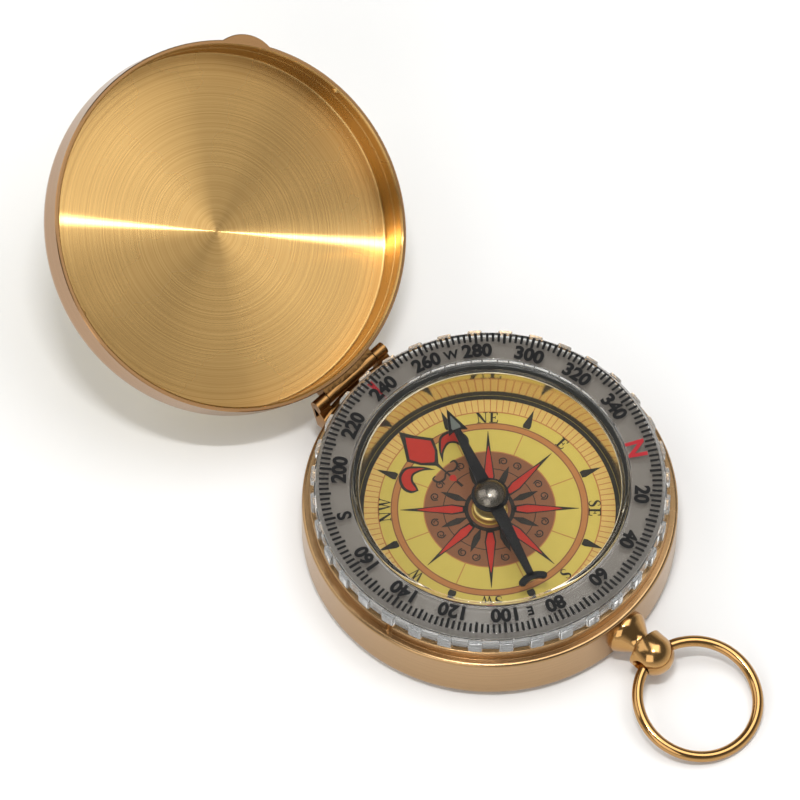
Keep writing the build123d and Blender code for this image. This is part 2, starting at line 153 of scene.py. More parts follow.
CRYSTAL_UNDER = 11.9
CRYSTAL_IN = 17.6
HINGE_TURN = 90.0

# Dial, well and pivot
DIAL_TOP = 5.45
DIAL_LOW = 5.15
WELL_R = 17.4
WELL_OUT = 17.9
SEAT_R = 2.3
SEAT_TOP = 6.55
SEAT_LOW = 2.0
SEAT_ROUND = 0.4
DISH_OUT = 1.3
DISH_IN = 1.1
DISH_DEPTH = 0.15
SHANK_R = 1.0
PIN_R = 0.35
PIN_FOOT = 0.8

# Needle and cap
NEEDLE_LOW = 9.2
NEEDLE_TOP = 9.5
NEEDLE_TURN = 68.0
NEEDLE_TIP = 14.2
NEEDLE_TAIL = 13.9
NEEDLE_HEAD = 3.3
NEEDLE_BARB = 0.5
NEEDLE_HEAD_HALF = 1.35
NEEDLE_END_HALF = 0.45
NEEDLE_ROOT_HALF = 1.0
HEAD_NOTCH = 0.05
SHAFT_INTO_HEAD = 0.1
FLUKE_BAR = 1.0
FLUKE_R = 2.6
FLUKE_BEND = 35.7
FLUKE_STEPS = 33
HUB_R = 2.5
HUB_FIT = 0.02
PAD_HALVES = (0.55, 0.62, 0.05)
PAD_WIDEST = 0.3
PAD_SHORT = 1.2
PAD_THICK = 0.07
CAP_R = 2.1
CAP_TOP = 10.9
CAP_RIM = 0.3
CAP_RIM_ROUND = 0.06
CAP_TUBE = 1.2
CAP_BORE = 0.8
CAP_LOW = 8.8
CAP_WALL = 0.5
DOME_ROWS = 16

# Bow
BOW_MEAN = 8.1
BOW_WIRE = 0.75
BOW_DROOP = 12.296

# Print: lifted off its surface, so that the two don't share a plane; each coat lies on the one before
PRINT_LIFT = 0.002
INK = 0.012

# Bezel scale: half widths of strokes at their radii, then radius, height and weight of the lettering
TICK = ((21.45, 22.75), (0.165, 0.18))
TICK_LONG = ((21.2, 22.75), (0.185, 0.20))
FIGURE_R = 20.15
FIGURE_HIGH = 2.1
FIGURE_WEIGHT = 0.045
LETTER_R = 20.05
LETTER_WEIGHT = 0.035
QUARTERS = (("E", 90, 1.35), ("S", 180, 2.0), ("W", 270, 1.35))
NORTH_HIGH = 2.6
NORTH_WEIGHT = 0.03
INDEX_MARK = ((19.4, 22.4), (0.05, 0.42))

# Dial rings: inner and outer radius
BORDER = (16.75, 17.38)
TAN_FIELD = (14.85, 16.75)
TAN_EDGE = (14.75, 14.92)
BAND_FIELD = (12.25, 13.1)
BAND_EDGES = ((12.17, 12.33), (13.02, 13.18))
ROSE_FIELD = (2.4, 8.75)
ROSE_EDGE = (8.7, 8.85)
ROSE_LINE = (6.1, 6.22)
HUB_RING = (2.85, 3.40)

# Dial strokes and points: half widths at their radii; the point at north gives way to the lily
NORTH_TURN = 90.0
MINUTE = ((14.9, 16.75), (0.055, 0.065))
SPOKE = ((8.8, 12.2), (0.06, 0.06))
POINTER = ((13.25, 13.7, 16.1), (0.46, 0.56, 0.04))
LONG_POINT = ((3.2, 5.0, 8.4, 11.9), (0.5, 0.78, 0.36, 0.03))
LONG_POINT_FILL = ((3.6, 5.0, 8.2, 9.6), (0.30, 0.58, 0.26, 0.03))
SHORT_POINT = ((3.3, 4.6, 5.8, 7.0), (0.06, 0.48, 0.36, 0.02))

# Coils between the points: a spiral that closes in and thins, and where its middle lies
COIL_PLACE = (0.95, 7.45)
COIL_R = 0.62
COIL_CLOSING = 0.42
COIL_SWEEP = 520
COIL_START = -60
COIL_WIDTH = 0.20
COIL_THINNING = 0.06
COIL_SPOTS = 9
LINE_STEPS = 40

# Lily at north, drawn along +Y: outer and inner edges of a petal and of its fill, a curl, then right
# halves of the leaf, its fill and the heart on the stalk
PETAL = (
    ((-0.7, 9.3), (-1.7, 11.0), (-3.3, 12.4), (-5.0, 12.0), (-5.9, 10.5), (-5.6, 9.2), (-4.6, 8.7)),
    ((-0.7, 9.3), (-2.0, 10.4), (-3.3, 10.8), (-4.0, 10.3), (-4.2, 9.6), (-4.4, 9.1), (-4.6, 8.7)))
PETAL_FILL = (
    ((-1.6, 10.5), (-2.4, 11.3), (-3.4, 12.05), (-4.8, 11.7), (-5.5, 10.4), (-5.3, 9.4), (-4.75, 9.0)),
    ((-1.6, 10.5), (-2.4, 10.9), (-3.4, 11.1), (-4.25, 10.5), (-4.5, 9.8), (-4.6, 9.35), (-4.75, 9.0)))
CURL = ((0.15, 8.0), (0.9, 7.5), (1.8, 7.7), (2.0, 8.5), (1.4, 8.7))
CURL_WIDTH = (0.25, 0.3, 0.32, 0.28, 0.15)
LEAF = ((0.0, 16.9), (1.1, 14.9), (2.5, 12.9), (1.6, 11.2), (0.25, 9.7), (0.12, 8.6), (0.2, 5.0))
LEAF_FILL = ((0.0, 15.6), (0.9, 14.4), (2.0, 12.85), (1.3, 11.4), (0.1, 10.3))
HEART = ((0.0, 7.3), (0.5, 7.0), (0.45, 6.6), (0.0, 6.1))

# Roman capitals, one unit high: four corners of each straight stroke, and the S as one flowing stroke
GLYPHS = {
    "N": [[(-0.02, 1), (0.24, 1), (0.82, 0), (0.62, 0)], [(0.10, 0), (0.17, 0), (0.17, 1), (0.10, 1)],
          [(0.72, 0.1), (0.79, 0.1), (0.79, 1), (0.72, 1)],
          [(-0.02, 0), (0.30, 0), (0.30, 0.06), (-0.02, 0.06)],
          [(0.58, 0.94), (0.93, 0.94), (0.93, 1), (0.58, 1)]],
    "E": [[(0.12, 0), (0.32, 0), (0.32, 1), (0.12, 1)],
          [(0.0, 0.92), (0.70, 0.92), (0.70, 1), (0.0, 1)],
          [(0.3, 0.46), (0.54, 0.46), (0.54, 0.54), (0.3, 0.54)],
          [(0.0, 0), (0.74, 0), (0.74, 0.08), (0.0, 0.08)],
          [(0.63, 0.74), (0.70, 0.74), (0.70, 1), (0.60, 1)],
          [(0.64, 0), (0.74, 0), (0.78, 0.3), (0.71, 0.3)],
          [(0.49, 0.36), (0.55, 0.36), (0.55, 0.64), (0.49, 0.64)]],
    "W": [[(0.0, 1), (0.2, 1), (0.42, 0), (0.33, 0)], [(0.33, 0), (0.40, 0), (0.60, 1), (0.53, 1)],
          [(0.43, 1), (0.63, 1), (0.85, 0), (0.76, 0)], [(0.76, 0), (0.83, 0), (1.06, 1), (0.99, 1)],
          [(-0.08, 0.94), (0.28, 0.94), (0.28, 1), (-0.08, 1)],
          [(0.88, 0.94), (1.16, 0.94), (1.16, 1), (0.88, 1)]],
}
S_LINE = ((0.56, 0.74), (0.52, 0.90), (0.36, 0.97), (0.17, 0.88), (0.16, 0.68), (0.36, 0.52),
          (0.54, 0.36), (0.54, 0.13), (0.34, 0.03), (0.15, 0.10), (0.10, 0.27))
S_WIDTH = (0.05, 0.06, 0.08, 0.12, 0.18, 0.22, 0.20, 0.13, 0.08, 0.06, 0.05)
GLYPH_WIDTH = {"N": 0.92, "E": 0.80, "W": 1.10, "S": 0.66}
GLYPH_GAP = 0.12
WORD_HIGH = 1.6
WORD_R = 14.0
WORDS = (("NE", 45), ("E", 0), ("SE", -45), ("S", -90), ("SW", -135), ("W", 180), ("NW", 135))


def unit(vector):
    """The vector divided by its own length."""
    return vector / np.linalg.norm(vector)


def polar(radius, degrees):
    """Points (x, y) at a radius and an angle from +X, both whole arrays."""
    turn = np.radians(degrees)
    return np.stack([radius * np.cos(turn), radius * np.sin(turn)], -1)


def mirrored(points):
    """The same flat points with x turned to its opposite."""
    return np.array(points) * [-1, 1]


def rounded(corners, steps=6):
    """Profile through corners (radius, level, rounding).

    A rounded corner becomes the arc tangent to both sides, from one tangent point to the other at even
    angles; a guard point just outside each tangent point keeps the flats' shading flat.
    """
    spots = np.array([corner[:2] for corner in corners], float)
    share = np.linspace(0, 1, steps + 1)[:, None]
    runs = []
    for k, corner in enumerate(corners):
        here = spots[k]
        if len(corner) < 3:
            runs.append(here[None])
            continue
        back, ahead = unit(spots[k - 1] - here), unit(spots[(k + 1) % len(spots)] - here)
        half = 0.5 * math.acos(np.clip(back @ ahead, -1, 1))
        reach = corner[2] / math.tan(half)
        middle = here + unit(back + ahead) * corner[2] / math.sin(half)
        first, last = here + back * reach - middle, here + ahead * reach - middle
        sweep = math.pi - 2 * half
        arc = first * np.sin((1 - share) * sweep) + last * np.sin(share * sweep)
        arc = middle + arc / math.sin(sweep)
        before, after = here + back * (reach + GUARD), here + ahead * (reach + GUARD)
        runs.append(np.concatenate([before[None], arc, after[None]]))
    return np.concatenate(runs)


def grid(points, closed=True, flat=False):
    """Quads between neighbours of a grid of points, rows along a profile and columns all round it.

    Closed joins the last row to the first. U is the length along the profile in mm and V the share of
    the turn; a flat patch has its own x and y in mm instead.
    """
    rows, cols = points.shape[:2]
    i, j = np.indices((rows if closed else rows - 1, cols))
    ii, jj = i[..., None] + [0, 0, 1, 1], j[..., None] + [0, 1, 1, 0]
    quads = (ii % rows) * cols + jj % cols
    steps = np.linalg.norm(np.diff(points[:, 0], axis=0, append=points[:1, 0]), axis=-1)
    along = np.concatenate([[0.0], np.cumsum(steps)])
    uv = np.stack([along[ii], jj / cols], -1)
    if flat:
        uv = points.reshape(-1, 3)[quads][..., :2]
    return points.reshape(-1, 3), quads.reshape(-1, 4), uv.reshape(-1, 2)


def lathe(profile, turns, swell=None, closed=True, flat=False):
    """Surface of revolution: the profile point (r, z) at turn t lies at (r cos t, r sin t, z).

    turns is a count or an array of angles in degrees; swell(r, z, degrees) adds to the radius.
    """
    degrees = np.arange(turns) * 360 / turns if np.isscalar(turns) else np.asarray(turns)
    r, z = profile[:, :1], profile[:, 1:2] + 0 * degrees
    r = r + (swell(r, z, degrees) if swell else 0) + 0 * degrees
    points = np.concatenate([polar(r, degrees), z[..., None]], -1)
    return grid(points, closed=closed, flat=flat)


def band(left, right, low, high, ring=False):
    """Thin flat solids between two edges: a rectangle is carried along both edges from end to end.

    left and right are (copies, steps, 2) or (steps, 2) arrays of x and y; low and high are levels.
    """
    left, right = (np.asarray(e, float).reshape(-1, *np.shape(e)[-2:]) for e in (left, right))
    copies, steps = left.shape[:2]
    level = np.broadcast_to([low, high, high, low], (copies, steps, 4))
    flat = np.stack([left, left, right, right], 2)
    points = np.concatenate([flat, level[..., None]], -1)
    k = np.arange(steps - 1)[:, None, None]
    side = np.arange(4)[None, :, None]
    quads = ((k + [0, 1, 1, 0]) * 4 + (side + [0, 0, 1, 1]) % 4).reshape(-1, 4)
    if not ring:
        ends = np.array([[0, 1, 2, 3], [3, 2, 1, 0]]) + np.array([[0], [4 * (steps - 1)]])
        quads = np.concatenate([quads, ends])
    quads = (quads[None] + 4 * steps * np.arange(copies)[:, None, None]).reshape(-1, 4)
    return points.reshape(-1, 3), quads, None


def spread(points, degrees):
    """Copies of a flat shape drawn along +Y, turned so that +Y points along each angle."""
    turn = np.radians(np.asarray(degrees, float) - 90)[:, None]
    x, y = points[None, :, 0], points[None, :, 1]
    return np.stack([x * np.cos(turn) - y * np.sin(turn), x * np.sin(turn) + y * np.cos(turn)], -1)


def rays(radii, halves, degrees, low, high):
    """Straight-edged strokes along each angle: half widths given at radii, mirrored about the ray."""
    right = np.column_stack([halves, radii])
    return band(spread(mirrored(right), degrees), spread(right, degrees), low, high)


def hoop(inner, outer, low, high, turns=RING_STEPS):
    """Flat ring between two radii."""
    degrees = np.linspace(0, 360, turns + 1)
    return band(polar(inner, degrees), polar(outer, degrees), low, high, ring=True)


def flowing(points, count=24):
    """Smooth curve through points: a cubic between each two, with slopes set by the neighbours."""
    p = np.array(points, float)
    slope = np.gradient(p, axis=0)
    t = np.linspace(0, len(p) - 1, count)
    k = np.minimum(t.astype(int), len(p) - 2)
    u = (t - k)[:, None]
    ease = 3 * u ** 2 - 2 * u ** 3
    leaving, coming = u * (1 - u) ** 2, u ** 2 * (u - 1)
    return p[k] * (1 - ease) + p[k + 1] * ease + slope[k] * leaving + slope[k + 1] * coming


def stroke(points, widths, count=24):
    """Edges of a stroke along a flowing line: half the width to each side, square to the line."""
    line = flowing(np.column_stack([points, widths]), count)
    way = np.gradient(line[:, :2], axis=0)
    across = np.stack([-way[:, 1], way[:, 0]], -1) / np.linalg.norm(way, axis=1)[:, None]
    half = across * line[:, 2:] / 2
    return line[:, :2] + half, line[:, :2] - half


def moved(part, change):
    """The same part with its points changed by a function of whole arrays."""
    return change(part[0]), part[1], part[2]


def bent(points, radius, degrees):
    """Bends flat lettering round a circle: its up points outwards and it reads clockwise."""
    turned = polar(radius + points[:, 1], degrees - np.degrees(points[:, 0] / radius))
    return np.column_stack([turned, points[:, 2]])


def figure(text, height, weight, low, high):
    """Plain sans lettering as a closed solid, centred on the origin and scaled to the given height.

    The weight moves the outline outwards.
    """
    line = bpy.data.curves.new("figure", "FONT")
    line.body = text
    line.extrude = 1.0
    line.offset = weight
    line.resolution_u = 4
    holder = bpy.data.objects.new("figure", line)
    mesh = bpy.data.meshes.new_from_object(holder)
    points = np.zeros(len(mesh.vertices) * 3)
    mesh.vertices.foreach_get("co", points)
    points = points.reshape(-1, 3)
    mesh.calc_loop_triangles()
    faces = np.zeros(len(mesh.loop_triangles) * 3, int)
    mesh.loop_triangles.foreach_get("vertices", faces)
    lowest, highest = points.min(0), points.max(0)
    scale = height / (highest[1] - lowest[1])
    flat = (points[:, :2] - (lowest[:2] + highest[:2]) / 2) * scale
    level = np.where(points[:, 2] > 0, high, low)
    bpy.data.objects.remove(holder)
    bpy.data.curves.remove(line)
    bpy.data.meshes.remove(mesh)
    return np.column_stack([flat, level]), faces.reshape(-1, 3), None


def ink_on(surface, coat=0):
    """Lowest and highest level of a coat of ink over a surface, counted from the first coat."""
    low = surface + PRINT_LIFT + INK * coat
    return low, low + INK


def joint_called(name):
    """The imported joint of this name."""
    return next(joint for joint in frame["joints"] if joint["name"] == name)


def hinge_turn(points, joint, degrees):
    """Points turned about a joint's own axis line: moved to its centre, turned, and moved back."""
    centre = np.array(joint["pos_m"]) / MM
    turn = Matrix.Rotation(math.radians(degrees), 3, joint["axis"])
    return (points - centre) @ np.array(turn).T + centre


def settle(mesh, smooth_to):
    """Merges doubles, points the faces outwards and shades smooth up to an angle between faces."""
    work = bmesh.new()
    work.from_mesh(mesh)
    bmesh.ops.remove_doubles(work, verts=work.verts, dist=MERGE)
    bmesh.ops.recalc_face_normals(work, faces=work.faces)
    work.to_mesh(mesh)
    work.free()
    mesh.shade_smooth()
    mesh.set_sharp_from_angle(angle=math.radians(smooth_to))


def place(thing, body, replaces=()):
    """Links an object, lets it ride on its body and hides the imported nodes that it stands for."""
    bpy.context.scene.collection.objects.link(thing)
    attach(thing, body)
    if replaces:
        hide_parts(*replaces)
    return thing


def piece(name, body, parts, materials, replaces=(), smooth_to=SMOOTH_TO):
    """One object from parts (points, faces, uv), each with its material's number; mm become metres."""
    mesh = bpy.data.meshes.new(name)
    shift, points, faces, uvs, kinds = 0, [], [], [], []
    for part, kind in parts:
        points.append(part[0] * MM)
        faces += (part[1] + shift).tolist()
        uvs.append(np.zeros((part[1].size, 2)) if part[2] is None else part[2])
        kinds.append(np.full(len(part[1]), kind))
        shift += len(part[0])
    mesh.from_pydata(np.concatenate(points), [], faces)
    mesh.uv_layers.new(name="surface").data.foreach_set("uv", np.concatenate(uvs).ravel())
    mesh.polygons.foreach_set("material_index", np.concatenate(kinds).astype(np.int32))
    for material in materials:
        mesh.materials.append(material)
    settle(mesh, smooth_to)
    return place(bpy.data.objects.new(name, mesh), body, replaces)


def printed(name, body, parts, material):
    """One object from flat prints of one ink."""
    return piece(name, body, [(part, 0) for part in parts], [material])


def dressed(node, body, material, bevel=BROKEN_EDGE):
    """Smooth copy of a solid with its sharp edges broken by a bevel."""
    mesh = frame["nodes"][node].data.copy()
    mesh.materials.clear()
    mesh.materials.append(material)
    settle(mesh, SOLID_SMOOTH_TO)
    thing = place(bpy.data.objects.new(node + "_finished", mesh), body, (node,))
    edge = thing.modifiers.new("broken_edges", "BEVEL")
    edge.width = bevel * MM
    edge.segments = 2
    edge.limit_method = "ANGLE"
    edge.angle_limit = math.radians(BROKEN_FROM)
    edge.harden_normals = True
    return thing


# Numbered sockets of a mixing node, whose names repeat: its two numbers, its two colours, its colour out
NUMBER_A, NUMBER_B, COLOUR_A, COLOUR_B, COLOUR_OUT = 2, 3, 6, 7, 2

# Spans of a noise's values that are stretched over a whole range: nearly all of them, and for hard marks
MOST = {"From Min": 0.30, "From Max": 0.70}
CRISP = {"From Min": 0.32, "From Max": 0.68}

# Marks in mm: width of duller patches, wheel marks and waves of flow, depth of hairs and of a tooth
CLOUD = 14
WHEEL_MARK = 0.5
FLOW_WAVE = 3.0
HAIR_DEEP = 0.01
TOOTH_DEEP = 0.02

# Coats: grains across one mottle, and the mottling's share beside the tooth's
GRAINS_PER_MOTTLE = 12
MOTTLE_SHARE = 0.5

# How much less and more rough a surface is in places
TURNED_DULL = (-0.03, 0.04)
BRUSHED_DULL = (-0.04, 0.04)
POLISHED_DULL = (0.0, 0.07)

# Turned rings: wide ones for each fine one, and their share; how the burnished crests draw a lamp out
WIDE_PER_RING = 0.4
WIDE_SHARE = 0.35
CREST_ROUGH = 0.25
CREST_DRAW = -0.86

# Brushing: hairs and wider strokes per mm along it, strokes for each hair across it, their share
HAIRS_ALONG = 0.06
STROKES_ALONG = 0.03
STROKES_PER_HAIR = 0.35
STROKE_SHARE = 0.5
QUARTER_TURN = 0.25

ACRYLIC_IOR = 1.49


def rgb(code):
    """sRGB hex to linear red, green, blue and alpha."""
    s = np.array([int(code[k:k + 2], 16) for k in (1, 3, 5)]) / 255
    linear = np.where(s <= 0.04045, s / 12.92, ((s + 0.055) / 1.055) ** 2.4)
    return (*linear.tolist(), 1.0)


def add(tree, kind, sockets=None, **settings):
    """Adds one node: settings are its properties, sockets its inputs.

    An input gets a link where its value is an output, or a node, which means that node's first output;
    any other value is set on the input itself.
    """
    node = tree.nodes.new(kind)
    for name, value in settings.items():
        setattr(node, name, value)
    for name, value in (sockets or {}).items():
        if isinstance(value, bpy.types.Node):
            value = value.outputs[0]
        if isinstance(value, bpy.types.NodeSocket):
            tree.links.new(value, node.inputs[name])
        else:
            node.inputs[name].default_value = value
    return node


def start(name):
    """Empty node material and its node tree."""
    material = bpy.data.materials.new(name)
    material.use_nodes = True
    tree = material.node_tree
    tree.nodes.clear()
    return material, tree


def per_mm(size):
    """Texture scale for a feature of this size in mm, on coordinates in metres."""
    return 1 / (size * MM)


def turned_brass(name, pale, deep, groove, roughness, anisotropy, bump, streak=0.0, painted_sheen_fade=None):
    """Brass cut on a lathe: fine rings follow the turn, and light draws out across them into a spoke.

    The UV's U runs along the profile in mm, so the rings are noise along U alone. A share of the
    surface, the cut's burnished crests, draws a small lamp out into a narrow line. A fade (from, to,
    colour) runs the tone into another one over a stretch of the profile: painted reflection, a darker
    or paler tone that stands in for the light the metal reflects there. Feed marks of about 0.05 mm
    are too fine to show, so a groove is drawn three to six times as wide.
    """
    material, tree = start(name)
    uv = add(tree, "ShaderNodeUVMap", uv_map="surface")
    rings = add(tree, "ShaderNodeMapping", {"Vector": uv, "Scale": (1 / groove, 0.0, 0.0)})
    fine = add(tree, "ShaderNodeTexNoise", {"Vector": rings, "Scale": 1.0, "Detail": 3.0})
    wide = add(tree, "ShaderNodeTexNoise", {"Vector": rings, "Scale": WIDE_PER_RING, "Detail": 2.0})
    both = add(tree, "ShaderNodeMix", {"Factor": WIDE_SHARE, NUMBER_A: fine, NUMBER_B: wide},
               data_type="FLOAT")
    spot = add(tree, "ShaderNodeTexCoord").outputs["Object"]
    cloud = add(tree, "ShaderNodeTexNoise", {"Vector": spot, "Scale": per_mm(CLOUD), "Detail": 4.0})
    crisp = add(tree, "ShaderNodeMapRange", {"Value": both, **CRISP})
    tone = add(tree, "ShaderNodeMix", {"Factor": crisp, COLOUR_A: rgb(deep), COLOUR_B: rgb(pale)},
               data_type="RGBA").outputs[COLOUR_OUT]
    # Painted reflection: the tone runs into another along the profile, where the metal reflects other
    # light
    if painted_sheen_fade:
        first, last, other = painted_sheen_fade
        along = add(tree, "ShaderNodeSeparateXYZ", {"Vector": uv}).outputs["X"]
        share = add(tree, "ShaderNodeMapRange", {"Value": along, "From Min": first, "From Max": last},
                    interpolation_type="SMOOTHSTEP")
        tone = add(tree, "ShaderNodeMix", {"Factor": share, COLOUR_A: tone, COLOUR_B: rgb(other)},
                   data_type="RGBA").outputs[COLOUR_OUT]
    least, most = (roughness + change for change in TURNED_DULL)
    gloss = add(tree, "ShaderNodeMapRange", {"Value": cloud, **MOST, "To Min": least, "To Max": most})
    marks = add(tree, "ShaderNodeBump", {"Height": both, "Strength": 1.0, "Distance": bump * MM})
    way = add(tree, "ShaderNodeTangent", direction_type="UV_MAP", uv_map="surface")
    shader = add(tree, "ShaderNodeBsdfPrincipled", {
        "Base Color": tone, "Metallic": 1.0, "Roughness": gloss, "Anisotropic": anisotropy,
        "Normal": marks, "Tangent": way})
    if streak:
        crests = add(tree, "ShaderNodeBsdfAnisotropic", {
            "Color": tone, "Roughness": CREST_ROUGH, "Anisotropy": CREST_DRAW, "Normal": marks,
            "Tangent": way}, distribution="BECKMANN")
        shader = add(tree, "ShaderNodeMixShader", {0: streak, 1: shader, 2: crests})
    add(tree, "ShaderNodeOutputMaterial", {"Surface": shader})
    return material


def brushed_brass(name, pale, deep, line, roughness, anisotropy):
    """Brass brushed straight along X of a flat patch: noise stretched along X, fine and wider.

    Hairs of about 0.03 mm are too fine to show, so a line is drawn about three times as wide.
    """
    material, tree = start(name)
    uv = add(tree, "ShaderNodeUVMap", uv_map="surface")
    hairs = add(tree, "ShaderNodeMapping", {"Vector": uv, "Scale": (HAIRS_ALONG, 1 / line, 1.0)})
    fine = add(tree, "ShaderNodeTexNoise", {"Vector": hairs, "Scale": 1.0, "Detail": 4.0})
    strokes = add(tree, "ShaderNodeMapping", {
        "Vector": uv, "Scale": (STROKES_ALONG, STROKES_PER_HAIR / line, 1.0)})
    wide = add(tree, "ShaderNodeTexNoise", {"Vector": strokes, "Scale": 1.0, "Detail": 3.0})
    both = add(tree, "ShaderNodeMix", {"Factor": STROKE_SHARE, NUMBER_A: fine, NUMBER_B: wide},
               data_type="FLOAT")
    crisp = add(tree, "ShaderNodeMapRange", {"Value": both, **CRISP})
    tone = add(tree, "ShaderNodeMix", {"Factor": crisp, COLOUR_A: rgb(deep), COLOUR_B: rgb(pale)},
               data_type="RGBA").outputs[COLOUR_OUT]
    least, most = (roughness + change for change in BRUSHED_DULL)
    gloss = add(tree, "ShaderNodeMapRange", {"Value": both, **MOST, "To Min": least, "To Max": most})
    marks = add(tree, "ShaderNodeBump", {"Height": fine, "Strength": 0.15, "Distance": HAIR_DEEP * MM})
    way = add(tree, "ShaderNodeTangent", direction_type="UV_MAP", uv_map="surface")
    shader = add(tree, "ShaderNodeBsdfPrincipled", {
        "Base Color": tone, "Metallic": 1.0, "Roughness": gloss, "Anisotropic": anisotropy,
        "Anisotropic Rotation": QUARTER_TURN, "Normal": marks, "Tangent": way})
    add(tree, "ShaderNodeOutputMaterial", {"Surface": shader})
    return material


def polished_metal(name, pale, deep, roughness, smear=9.0):
    """Buffed metal: mirror-like, with faint handling smears some millimetres wide and fine wheel marks.

    Wheel marks of about 0.05 mm are too fine to show, so they are drawn ten times as wide.
    """
    material, tree = start(name)
    spot = add(tree, "ShaderNodeTexCoord").outputs["Object"]
    smears = add(tree, "ShaderNodeTexNoise", {
        "Vector": spot, "Scale": per_mm(smear), "Detail": 5.0, "Distortion": 0.4})
    wheel = add(tree, "ShaderNodeTexNoise", {"Vector": spot, "Scale": per_mm(WHEEL_MARK), "Detail": 2.0})
    tone = add(tree, "ShaderNodeMix", {"Factor": smears, COLOUR_A: rgb(deep), COLOUR_B: rgb(pale)},
               data_type="RGBA").outputs[COLOUR_OUT]
    least, most = (roughness + change for change in POLISHED_DULL)
    gloss = add(tree, "ShaderNodeMapRange", {"Value": smears, **MOST, "To Min": least, "To Max": most})
    marks = add(tree, "ShaderNodeBump", {"Height": wheel, "Strength": 0.03, "Distance": HAIR_DEEP * MM})
    shader = add(tree, "ShaderNodeBsdfPrincipled", {
        "Base Color": tone, "Metallic": 1.0, "Roughness": gloss, "Normal": marks})
    add(tree, "ShaderNodeOutputMaterial", {"Surface": shader})
    return material


def coated(name, pale, deep, grain, roughness, bump=0.1, shine=0.5):
    """Opaque coat such as ink, paint, paper or moulded plastic: slight mottling and a fine tooth.

    A tooth of about 0.03 mm is too fine to show, so a grain is drawn three times as wide or more.
    """
    material, tree = start(name)
    spot = add(tree, "ShaderNodeTexCoord").outputs["Object"]
    tooth = add(tree, "ShaderNodeTexNoise", {"Vector": spot, "Scale": per_mm(grain), "Detail": 3.0})
    mottle = add(tree, "ShaderNodeTexNoise", {
        "Vector": spot, "Scale": per_mm(GRAINS_PER_MOTTLE * grain), "Detail": 3.0})
    both = add(tree, "ShaderNodeMix", {"Factor": MOTTLE_SHARE, NUMBER_A: tooth, NUMBER_B: mottle},
               data_type="FLOAT")
    tone = add(tree, "ShaderNodeMix", {"Factor": both, COLOUR_A: rgb(deep), COLOUR_B: rgb(pale)},
               data_type="RGBA").outputs[COLOUR_OUT]
    marks = add(tree, "ShaderNodeBump", {"Height": tooth, "Strength": bump, "Distance": TOOTH_DEEP * MM})
    shader = add(tree, "ShaderNodeBsdfPrincipled", {
        "Base Color": tone, "Roughness": roughness, "Specular IOR Level": shine, "Normal": marks})
    add(tree, "ShaderNodeOutputMaterial", {"Surface": shader})
    return material


def clear_acrylic(name, tint, roughness, clarity=1.0):
    """Moulded acrylic with faint waves of flow: light for what lies below it goes straight through."""
    material, tree = start(name)
    spot = add(tree, "ShaderNodeTexCoord").outputs["Object"]
    flow = add(tree, "ShaderNodeTexNoise", {"Vector": spot, "Scale": per_mm(FLOW_WAVE), "Detail": 2.0})
    marks = add(tree, "ShaderNodeBump", {"Height": flow, "Strength": 0.02, "Distance": TOOTH_DEEP * MM})
    shader = add(tree, "ShaderNodeBsdfPrincipled", {
        "Base Color": rgb(tint), "Roughness": roughness, "IOR": ACRYLIC_IOR,
        "Transmission Weight": clarity, "Normal": marks})
    through = add(tree, "ShaderNodeBsdfTransparent", {"Color": rgb(tint)})
    ray = add(tree, "ShaderNodeLightPath").outputs
    either = add(tree, "ShaderNodeMath", {0: ray["Is Shadow Ray"], 1: ray["Is Diffuse Ray"]},
                 operation="MAXIMUM")
    mixed = add(tree, "ShaderNodeMixShader", {0: either, 1: shader, 2: through})
    add(tree, "ShaderNodeOutputMaterial", {"Surface": mixed})
    return material


# Spun brass: rings round the middle, over which a lamp draws out into one bright spoke
LID_INSIDE = turned_brass("spun_brass", "#DAB577", "#B38B50", groove=0.16, roughness=0.26,
                          anisotropy=0.9, bump=0.010, streak=0.54)
# Turned brass: a soft upright sheen on the wall, with hardly a tool mark left
CASE_SIDE = turned_brass("turned_brass", "#B29068", "#A2835B", groove=0.30, roughness=0.24,
                         anisotropy=0.35, bump=0.005)
# Drawn brass: smooth and glossy; its brown wall running paler towards the face is painted reflection
LID_OUTER = turned_brass("drawn_brass", "#A9825A", "#9A754E", groove=0.30, roughness=0.20,
                         anisotropy=0.25, bump=0.004, painted_sheen_fade=(4.3, 9.0, "#CDB570"))
# Brushed brass: its pale lemon is partly painted reflection; straight hairs spread a lamp to both sides
LID_FRONT = brushed_brass("brushed_brass", "#D5BF7A", "#C7AE69", line=0.10, roughness=0.22,
                          anisotropy=0.45)
# Polished brass: clear warm reflections, dulled a little where it is handled
BUFFED = polished_metal("polished_brass", "#C49A63", "#A97F4C", roughness=0.10)
# Hinge brass: the same metal, darkened all over as painted shade for a hinge in shadow, duller in small
# patches
SHADED_HINGE_BRASS = polished_metal("shaded_hinge_brass", "#A57C4C", "#7E5C36", roughness=0.22, smear=4.0)
# Polished aluminium: a pale mirror in which the dial's edge is seen again
MIRROR = polished_metal("polished_aluminium", "#E6DCC4", "#D6CAB0", roughness=0.07)
# Polished nickel: a grey dome with one soft highlight
NICKEL = polished_metal("polished_nickel", "#8A847C", "#6A655F", roughness=0.20, smear=2.0)
# Bright steel: plain grey gloss
STEEL = polished_metal("bright_steel", "#B4B2AE", "#97948F", roughness=0.20, smear=3.0)
# Satin brass: a blurred shine, and a pale tone that is painted light, lifting the boss out of the cap's
# shade
SATIN_LIT_BRASS = polished_metal("satin_brass", "#E0C886", "#CDB06A", roughness=0.34, smear=2.0)
# Blackened steel: an oxide skin, nearly black, with a faint sheen
BLACKED = coated("blackened_steel", "#0A0A0D", "#050507", grain=0.15, roughness=0.42, bump=0.05,
                 shine=0.2)
